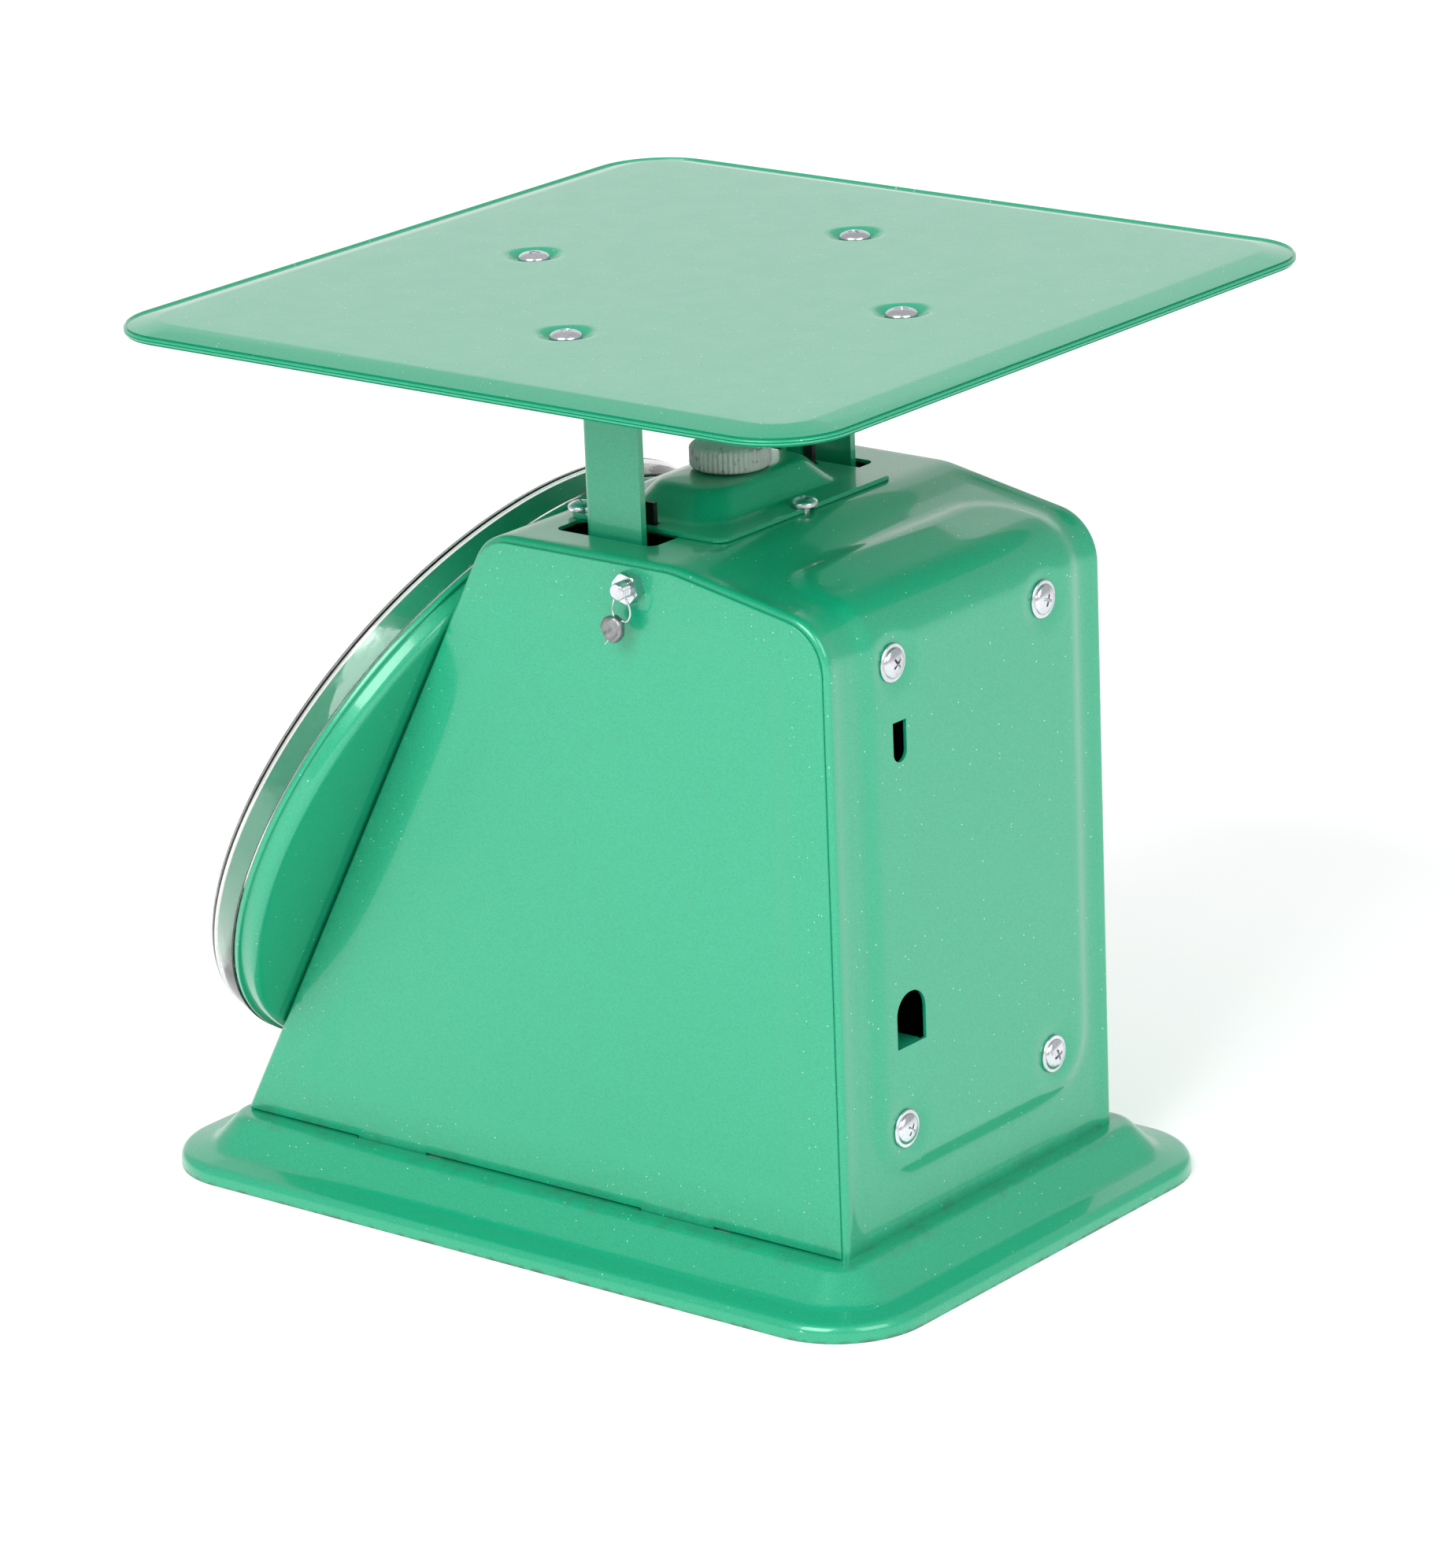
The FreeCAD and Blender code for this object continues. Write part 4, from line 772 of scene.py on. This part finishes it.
def make_arms():
    for side, name in ((1, "arm_right"), (-1, "arm_left")):
        low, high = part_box(name)
        outer = side * 48.7 * MM
        inner = side * 46.5 * MM
        tip = side * 40.2 * MM
        outline = rounded(
            [
                (outer, low.y, 2.6 * MM),
                (outer, high.y),
                (inner, high.y),
                (inner, low.y + 2.2 * MM, 0.6 * MM),
                (tip, low.y + 2.2 * MM),
                (tip, low.y),
            ]
        )
        if side > 0:
            outline = outline[::-1]
        bm = plate(name + "_blank", [outline], low.z, high.z, 0.22 * MM)
        obj = new_object(name + "_strip", bm)
        dressed(obj, GREEN, "carriage", [name])


# ---------------------------------------------------------------- fasteners
def screw_head(name, radius, height, dome, washer=0.0):
    """A cross-recessed pan head on the origin, along +Z. washer is the share of its radius that is flat rim."""
    bm = bmesh.new()
    profile = [(0.0, -3.0 * MM), (radius * 0.42, -3.0 * MM), (radius * 0.42, 0.0)]
    start = radius * (1.0 - washer)
    if washer:
        rim = 0.75 * MM
        profile += [(radius - 0.15 * MM, 0.0), (radius, 0.15 * MM), (radius, rim - 0.2 * MM)]
        profile += [(radius - 0.2 * MM, rim), (start + 0.1 * MM, rim + 0.05 * MM)]
        floor = rim
    else:
        profile += [(radius - 0.2 * MM, 0.0), (radius, 0.2 * MM)]
        floor = height * (1.0 - dome)
    for k in range(9):
        turn = math.radians(90.0 * k / 8)
        profile.append((start * math.cos(turn), floor + (height - floor) * math.sin(turn)))
    profile[-1] = (0.0, height)
    lathe(bm, profile, count=56)
    head = new_object(name, bm)
    arm = start * 0.56
    half = start * 0.115
    cross = [
        (arm, -half), (arm, half), (half, half), (half, arm), (-half, arm), (-half, half),
        (-arm, half), (-arm, -half), (-half, -half), (-half, -arm), (half, -arm), (half, -half),
    ]
    bm = bmesh.new()
    prism(bm, cross, height * 0.35, height * 1.3, taper=0.42)
    cutter = new_object("cross_cutter", bm)
    applied(head, "BOOLEAN", operation="DIFFERENCE", solver="EXACT", object=cutter)
    bpy.data.objects.remove(cutter)
    softened(head, 0.07 * MM, 1, 50.0)
    return head


def scatter(name, head, places, look, body, nodes):
    """Copies one head to several places, each (matrix), as one piece."""
    bm = bmesh.new()
    for at in places:
        part = head.data.copy()
        part.transform(at)
        bm.from_mesh(part)
        bpy.data.meshes.remove(part)
    obj = new_object(name, bm)
    mesh = head.data
    bpy.data.objects.remove(head)
    bpy.data.meshes.remove(mesh)
    dressed(obj, look, body, nodes, sharp=30.0)


def make_screws():
    turn = Matrix.Rotation
    tray_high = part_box("platform")[1].z
    tray_y = centre("platform").y
    ring = TRAY_SCREW_RING
    spots = [(ring, 0.0, 20.0), (-ring, 0.0, 65.0), (0.0, ring, 35.0), (0.0, -ring, 5.0)]
    places = [
        Matrix.Translation((x, tray_y + y, tray_high - TRAY_DIMPLE)) @ turn(math.radians(a), 4, "Z")
        for x, y, a in spots
    ]
    head = screw_head("tray_screw_head", 4.6 * MM, 2.9 * MM, 0.62)
    scatter("tray_screw_heads", head, places, ZINC, "carriage", ["platform_screws"])

    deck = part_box("top_bracket")[0].z + 1.4 * MM
    places = [
        Matrix.Translation((x * MM, y * MM, deck)) @ turn(math.radians(a), 4, "Z")
        for x, y, _, a in BRACKET_SCREWS
    ]
    head = screw_head("bracket_screw_head", 3.9 * MM, 2.6 * MM, 0.65)
    scatter("bracket_screw_heads", head, places, ZINC, "housing", ["bracket_screws"])

    out = turn(-math.pi / 2, 4, "X")
    places = []
    for x, z, a in BACK_SCREWS:
        places.append(Matrix.Translation((x * MM, HOOD_HIGH.y, z * MM)) @ out @ turn(math.radians(a), 4, "Z"))
    head = screw_head("back_screw_head", 5.5 * MM, 2.4 * MM, 0.7, 0.2)
    scatter("back_screw_heads", head, places, ZINC, "housing", ["back_screws"])


def hex_nut(bm, flats, hole, low, high, at):
    """A chamfered hexagon nut along the Z axis of at."""
    count = 72
    limit = flats / 2 * 1.06

    def hexagon(angle):
        return flats / 2 / math.cos((angle % (math.pi / 3)) - math.pi / 6)

    rows = []
    for level, chamfered, direction in ((low, True, 1), (low, False, 1), (high, False, -1), (high, True, -1)):
        row = []
        for k in range(count):
            angle = 2 * math.pi * k / count
            full = hexagon(angle)
            cut_back = min(full, limit)
            radius = cut_back if chamfered else full
            height = level + (0.0 if chamfered else direction * (full - cut_back) * 0.6)
            row.append(at @ Vector((radius * math.cos(angle), radius * math.sin(angle), height)))
        rows.append(row)
    turns = [2 * math.pi * k / count for k in range(count)]
    for level in (high, low):
        rows.append([at @ Vector((hole * math.cos(a), hole * math.sin(a), level)) for a in turns])
    skin(bm, rows, loop=True, wrap=True)


def thread(bm, radius, low, high, pitch, at, depth=0.35 * MM, blunt=0.6 * MM):
    """A threaded rod along the Z axis of at, with chamfered ends."""
    count = 40
    rows = [[at @ Vector((0, 0, low))]]
    levels = max(4, round((high - low) / pitch * 6))
    for i in range(levels + 1):
        z = low + (high - low) * i / levels
        taper = min(1.0, (min(z - low, high - z) + 0.25 * MM) / blunt)
        row = []
        for k in range(count):
            angle = 2 * math.pi * k / count
            phase = (z / pitch - k / count) % 1.0
            groove = depth * abs(2 * phase - 1.0)
            size = (radius - groove) * (0.8 + 0.2 * taper)
            row.append(at @ Vector((size * math.cos(angle), size * math.sin(angle), z)))
        rows.append(row)
    rows.append([at @ Vector((0, 0, high))])
    skin(bm, rows, loop=True)


def make_side_studs():
    for side, hand in ((1, "right"), (-1, "left")):
        low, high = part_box(hand + "_stud")
        middle = (low + high) / 2
        along = Matrix.Translation((0, middle.y, middle.z)) @ Matrix.Rotation(math.pi / 2, 4, "Y")
        bm = bmesh.new()
        thread(bm, (high.y - low.y) / 2, low.x, high.x, 0.8 * MM, along)
        dressed(new_object(hand + "_stud_thread", bm), ZINC, "housing", [hand + "_stud"])
        low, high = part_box(hand + "_nut")
        bm = bmesh.new()
        hex_nut(bm, 8.0 * MM, 2.45 * MM, low.x, high.x, along @ Matrix.Rotation(0.3, 4, "Z"))
        dressed(new_object(hand + "_hex_nut", bm), ZINC, "housing", [hand + "_nut"], sharp=25.0)


def tube(name, points, radius, look, body, nodes=()):
    """A smooth wire through points, as a mesh."""
    curve = bpy.data.curves.new(name, "CURVE")
    curve.dimensions = "3D"
    curve.bevel_depth = radius
    curve.bevel_resolution = 4
    curve.use_fill_caps = True
    spline = curve.splines.new("NURBS")
    spline.points.add(len(points) - 1)
    for point, place in zip(spline.points, points):
        point.co = (place[0], place[1], place[2], 1.0)
    spline.order_u = 3
    spline.use_endpoint_u = True
    spline.resolution_u = 6
    mesh = curve_mesh(curve)
    bm = bmesh.new()
    bm.from_mesh(mesh)
    bpy.data.meshes.remove(mesh)
    return dressed(new_object(name, bm), look, body, nodes)


def make_seal():
    """A doubled wire loop through the stud, twisted together, and a crimped lead disc on its end."""
    low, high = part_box("seal_wire")
    middle = (low + high) / 2
    seal_low, seal_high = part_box("lead_seal")
    seal = (seal_low + seal_high) / 2
    wire = 0.32 * MM
    points = []
    for k in range(15):
        angle = math.radians(-70.0 + 320.0 * k / 14)
        reach = 4.3 * MM
        across = middle.x + 0.5 * MM * math.sin(angle * 2)
        points.append((across, middle.y + reach * math.cos(angle) * 0.72, middle.z + reach * math.sin(angle)))
    points += [
        (seal.x + 0.5 * MM, seal.y + 1.4 * MM, seal.z + 3.6 * MM),
        (seal.x + 0.3 * MM, seal.y + 0.6 * MM, seal.z),
        (seal.x, seal.y - 1.2 * MM, seal.z - 3.0 * MM),
        (seal.x + 0.9 * MM, seal.y - 2.4 * MM, seal.z - 4.6 * MM),
    ]
    start = [
        (seal.x - 0.2 * MM, seal.y + 2.6 * MM, seal.z - 1.0 * MM),
        (seal.x, seal.y + 2.4 * MM, seal.z + 2.8 * MM),
    ]
    tube("seal_loop", start + points, wire, BRIGHT, "wire_seal", ["seal_wire"])
    bm = bmesh.new()
    radius = (seal_high.z - seal_low.z) / 2
    half = (seal_high.x - seal_low.x) / 2
    rim = [(radius * 0.5, -half), (radius, -half, 1.0 * MM), (radius, half, 1.0 * MM), (radius * 0.5, half)]
    profile = rounded(rim, closed=False)
    profile = [(0.0, -half)] + [tuple(p) for p in profile] + [(0.0, half)]
    extra = []
    for a, b in zip(profile, profile[1:]):
        out, rise = b[0] - a[0], b[1] - a[1]
        pieces = max(1, math.ceil(math.hypot(out, rise) / (0.35 * MM)))
        extra += [(a[0] + out * k / pieces, a[1] + rise * k / pieces) for k in range(pieces)]
    lathe(bm, extra + [profile[-1]], count=48)
    for v in bm.verts:
        x, y, z = v.co
        squeeze = 1.0 - 0.22 * math.exp(-((x / (1.3 * MM)) ** 2)) * (1.0 - 0.3 * math.sin(y * 2600.0))
        uneven = 1.0 + 0.05 * math.sin(3.0 * math.atan2(y, x) + 0.7) + 0.03 * math.sin(7.0 * math.atan2(y, x))
        wave = 0.12 * MM * math.sin(x * 2100.0 + y * 1300.0)
        v.co = Vector((x * uneven, y * uneven * 0.96, z * squeeze + wave))
    place = Matrix.Translation(seal) @ Matrix.Rotation(math.pi / 2, 4, "Y")
    bmesh.ops.transform(bm, matrix=place, verts=bm.verts)
    dressed(new_object("lead_disc", bm), LEAD, "wire_seal", ["lead_seal"])


# ---------------------------------------------------------------- dial
def turned(corners, count):
    """A round part on the dial's axis, from (radius, height) corners in millimetres."""
    bm = bmesh.new()
    lathe(bm, rounded(scaled(*corners), closed=False), DIAL_AT, count)
    return bm


def make_dial():
    dish = [
        (0.0, 0.0), (60.0, 0.0), (98.6, 0.0, 3.0), (99.4, 5.4, 0.6), (100.8, 5.5, 0.5), (100.8, 7.2, 0.5),
        (99.4, 7.3, 0.4), (99.4, 14.7, 0.3), (98.4, 14.7, 0.3), (97.7, 1.0, 2.2), (60.0, 1.0), (0.0, 1.0),
    ]
    bm = turned(dish, 168)
    dressed(new_object("dial_back", bm), GREEN, "housing", ["dial_dish"])

    cover = [
        (0.0, 17.3), (60.0, 17.3), (101.3, 17.3, 2.4), (101.3, 7.3, 0.3), (99.8, 7.3, 0.3),
        (99.8, 15.7, 1.0), (60.0, 15.7), (0.0, 15.7),
    ]
    bm = turned(cover, 168)
    dressed(new_object("dial_lens", bm), CLEAR, "housing", ["dial_cover"])

    face = [
        (0.0, 7.4), (94.0, 7.4), (96.0, 7.4), (96.0, 8.2, 0.3), (94.5, 8.2, 0.3),
        (94.2, 8.0, 0.2), (60.0, 8.0), (4.0, 8.0), (0.0, 8.0),
    ]
    bm = turned(face, 128)
    dressed(new_object("dial_card", bm), WHITE, "housing", ["dial_face"])
    make_dial_print()
    make_pointer()


def dial_angle(share):
    """Angle in the dial plane of a share of one clockwise turn from the top."""
    return math.pi / 2 - 2 * math.pi * share


def make_dial_print():
    """Graduations and figures for ten kilograms, as thin printed shapes on the card."""
    bm = bmesh.new()
    low, high = DIAL_PRINT
    for mark in range(500):
        angle = dial_angle(mark / 500)
        if mark % 50 == 0:
            inner, wide = 77.0, 0.75
        elif mark % 25 == 0:
            inner, wide = 81.0, 0.5
        elif mark % 5 == 0:
            inner, wide = 84.5, 0.34
        else:
            inner, wide = 88.0, 0.16
        at = DIAL_AT @ Matrix.Rotation(angle, 4, "Z")
        prism(bm, scaled((inner, -wide), (92.0, -wide), (92.0, wide), (inner, wide)), low, high, at)
    for radius in (92.3, 76.0):
        inner, outer = (radius - 0.2) * MM, (radius + 0.2) * MM
        lathe(bm, [(inner, low), (outer, low), (outer, high), (inner, high)], DIAL_AT, 160, closed=True)
    for number in range(10):
        add_figure(bm, str(number), dial_angle(number / 10), 60.0 * MM, 13.0 * MM)
    for number in range(10):
        add_figure(bm, "500", dial_angle((number + 0.5) / 10), 64.0 * MM, 4.6 * MM)
    add_figure(bm, "kg", dial_angle(0.5), 46.0 * MM, 9.0 * MM)
    dressed(new_object("dial_graduations", bm), INK, "housing")


def add_figure(bm, text, angle, reach, size):
    """Adds figures to bm, upright on the dial card and centred at an angle and a reach from the middle."""
    low, high = DIAL_PRINT
    place = (reach * math.cos(angle), reach * math.sin(angle), (low + high) / 2)
    curve = bpy.data.curves.new("figure", "FONT")
    curve.body = text
    curve.size = size
    curve.align_x = "CENTER"
    curve.align_y = "CENTER"
    curve.extrude = (high - low) / 2
    curve.resolution_u = 4
    mesh = curve_mesh(curve)
    mesh.transform(DIAL_AT @ Matrix.Translation(place))
    bm.from_mesh(mesh)
    bpy.data.meshes.remove(mesh)


def make_pointer():
    needle = rounded(
        scaled(
            (-1.6, 4.0), (-1.1, -26.0), (-5.5, -30.0, 4.0), (0.0, -35.5, 4.0), (5.5, -30.0, 4.0),
            (1.1, -26.0), (1.6, 4.0), (0.3, 84.0), (-0.3, 84.0),
        )
    )
    bm = plate("needle", [needle], 11.2 * MM, 12.0 * MM, 0.12 * MM, DIAL_AT)
    hub = rounded(scaled((1.55, 10.6), (6.5, 10.6, 0.3), (6.5, 12.6, 0.5), (1.55, 12.6)))
    lathe(bm, hub, DIAL_AT, 56, closed=True)
    dressed(new_object("pointer_needle", bm), INK, "dial_pointer", ["pointer"])
    bm = turned([(0.0, 13.0), (3.2, 13.0), (3.2, 14.6, 1.0), (0.0, 14.6)], 40)
    dressed(new_object("pointer_boss", bm), BRASS, "dial_pointer", ["pointer_cap"])


# ---------------------------------------------------------------- knob and springs
def make_knob():
    low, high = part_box("tare_knob")
    middle = (low + high) / 2
    radius = (high.x - low.x) / 2
    at = Matrix.Translation((middle.x, middle.y, low.z))
    tall = high.z - low.z
    profile = [
        (3.1, 0.0, 0.0), (9.0, 0.0, 0.0), (10.6, 0.15, 0.3), (11.3, 0.6, 0.8), (11.6, 1.1, 1.0),
        (11.6, 3.5, 1.0), (11.6, 5.8, 1.0), (11.3, 6.3, 0.8), (10.7, 6.8, 0.25), (9.6, 7.15, 0.0),
        (6.6, 8.2, 0.0), (6.2, tall / MM, 0.0), (3.1, tall / MM, 0.0),
    ]
    ribs = 48
    count = ribs * 8
    rows = []
    for r, z, ribbed in profile:
        row = []
        for k in range(count):
            angle = 2 * math.pi * k / count
            rib = 0.5 - 0.5 * math.cos(angle * ribs)
            size = r / 11.6 * radius - 0.45 * MM * ribbed * rib ** 1.5
            row.append(at @ Vector((size * math.cos(angle), size * math.sin(angle), z * MM)))
        rows.append(row)
    bm = bmesh.new()
    skin(bm, rows, loop=True, wrap=True)
    dressed(new_object("knob_grip", bm), GREY, "zero_knob", ["tare_knob"])

    low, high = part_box("knob_rod")
    bm = bmesh.new()
    thread(bm, (high.x - low.x) / 2, low.z, high.z, 1.0 * MM, Matrix.Translation((middle.x, middle.y, 0)))
    dressed(new_object("knob_thread", bm), BLACK, "zero_knob", ["knob_rod"])
    low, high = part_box("knob_nut")
    bm = bmesh.new()
    hex_nut(bm, 9.0 * MM, 2.95 * MM, low.z, high.z, Matrix.Translation((middle.x, middle.y, 0)))
    dressed(new_object("knob_hex_nut", bm), BLACK, "zero_knob", ["knob_nut"], sharp=25.0)


def make_springs():
    """Extension springs between the fixed beam and the moving crossbar, built as coils of one fixed length."""
    for name in ("spring_right", "spring_left"):
        low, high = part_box(name)
        middle = (low + high) / 2
        wire = 1.1 * MM
        mean = (high.x - low.x) / 2 - wire
        bottom = 86.0 * MM
        top = 178.0 * MM
        turns = 26
        per_turn = 40
        sides = 10
        rows = []
        for i in range(turns * per_turn + 1):
            angle = 2 * math.pi * i / per_turn
            z = bottom + (top - bottom) * i / (turns * per_turn)
            outward = Vector((math.cos(angle), math.sin(angle), 0))
            row = []
            for k in range(sides):
                a = 2 * math.pi * k / sides
                across = outward * (mean + wire * math.cos(a)) + UP * wire * math.sin(a)
                row.append(Vector((middle.x, middle.y, z)) + across)
            rows.append(row)
        rows = [[sum(rows[0], Vector()) / sides]] + rows + [[sum(rows[-1], Vector()) / sides]]
        bm = bmesh.new()
        skin(bm, rows, loop=True)
        obj = new_object(name + "_coil", bm)
        obj.data.shade_smooth()
        obj.data.materials.append(SPRING)
        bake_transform(obj)
        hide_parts(name)


# ---------------------------------------------------------------- stage
def make_stage():
    reach = 9.0
    bm = bmesh.new()
    bmesh.ops.create_grid(bm, x_segments=8, y_segments=8, size=reach)
    floor = new_object("floor", bm)
    look = Look("floor_card")
    tone = look.mix(look.noise(3.0), (0.95, 0.95, 0.95, 1.0), (0.97, 0.97, 0.97, 1.0))
    look.set(base_color=tone, roughness=0.9, emission_color=(1.0, 1.0, 1.0, 1.0), emission_strength=0.2)
    floor.data.materials.append(look.material)
    world = bpy.data.worlds.new("studio")
    bpy.context.scene.world = world
    world.use_nodes = True
    sky = world.node_tree.nodes["Background"]
    sky.inputs["Color"].default_value = (1.0, 1.0, 1.0, 1.0)
    sky.inputs["Strength"].default_value = 0.62
    lights = (
        ("back_key", (0.7, 2.8, 1.9), 2.0, 2.0, 44.0),
        ("side_key", (2.8, 0.2, 2.3), 2.0, 2.0, 88.0),
        ("backdrop", (-2.35, -1.9, 0.95), 4.2, 1.9, 9.0),
    )
    for name, place, wide, tall, power in lights:
        lamp = bpy.data.lights.new(name, "AREA")
        lamp.shape = "RECTANGLE"
        lamp.size = wide
        lamp.size_y = tall
        lamp.energy = power
        holder = bpy.data.objects.new(name, lamp)
        holder.location = place
        aim = Vector((0.0, 0.02, 0.13)) - Vector(place)
        holder.rotation_euler = aim.to_track_quat("-Z", "Y").to_euler()
        bpy.context.scene.collection.objects.link(holder)


def make_camera():
    azimuth = math.radians(128.77)
    elevation = math.radians(18.12)
    roll = math.radians(-2.23)
    target = Vector((0.0, 0.0224, 0.12058))
    away = 1.9572
    level = math.cos(elevation)
    back = Vector((math.sin(azimuth) * level, -math.cos(azimuth) * level, math.sin(elevation)))
    right = (-back).cross(UP).normalized()
    up = right.cross(-back)
    across = right * math.cos(roll) + up * math.sin(roll)
    upright = up * math.cos(roll) - right * math.sin(roll)
    lens = bpy.data.cameras.new("photo_camera")
    lens.sensor_width = 36.0
    lens.lens = 157.75
    lens.clip_start = 0.05
    lens.clip_end = 60.0
    holder = bpy.data.objects.new("photo_camera", lens)
    facing = Matrix((across, upright, back)).transposed().to_4x4()
    holder.matrix_world = Matrix.Translation(target + back * away) @ facing
    bpy.context.scene.collection.objects.link(holder)
    bpy.context.scene.camera = holder


bpy.context.scene.view_settings.view_transform = "Standard"
make_camera()
make_stage()
for node_name, slot_name in node_slots().items():
    node_mesh = NODES[node_name].data
    node_mesh.materials.clear()
    node_mesh.materials.append(SLOT_LOOKS[slot_name])
make_base()
make_hood()
make_side_plates()
make_tray()
make_bracket()
make_arms()
make_screws()
make_side_studs()
make_seal()
make_dial()
make_knob()
make_springs()
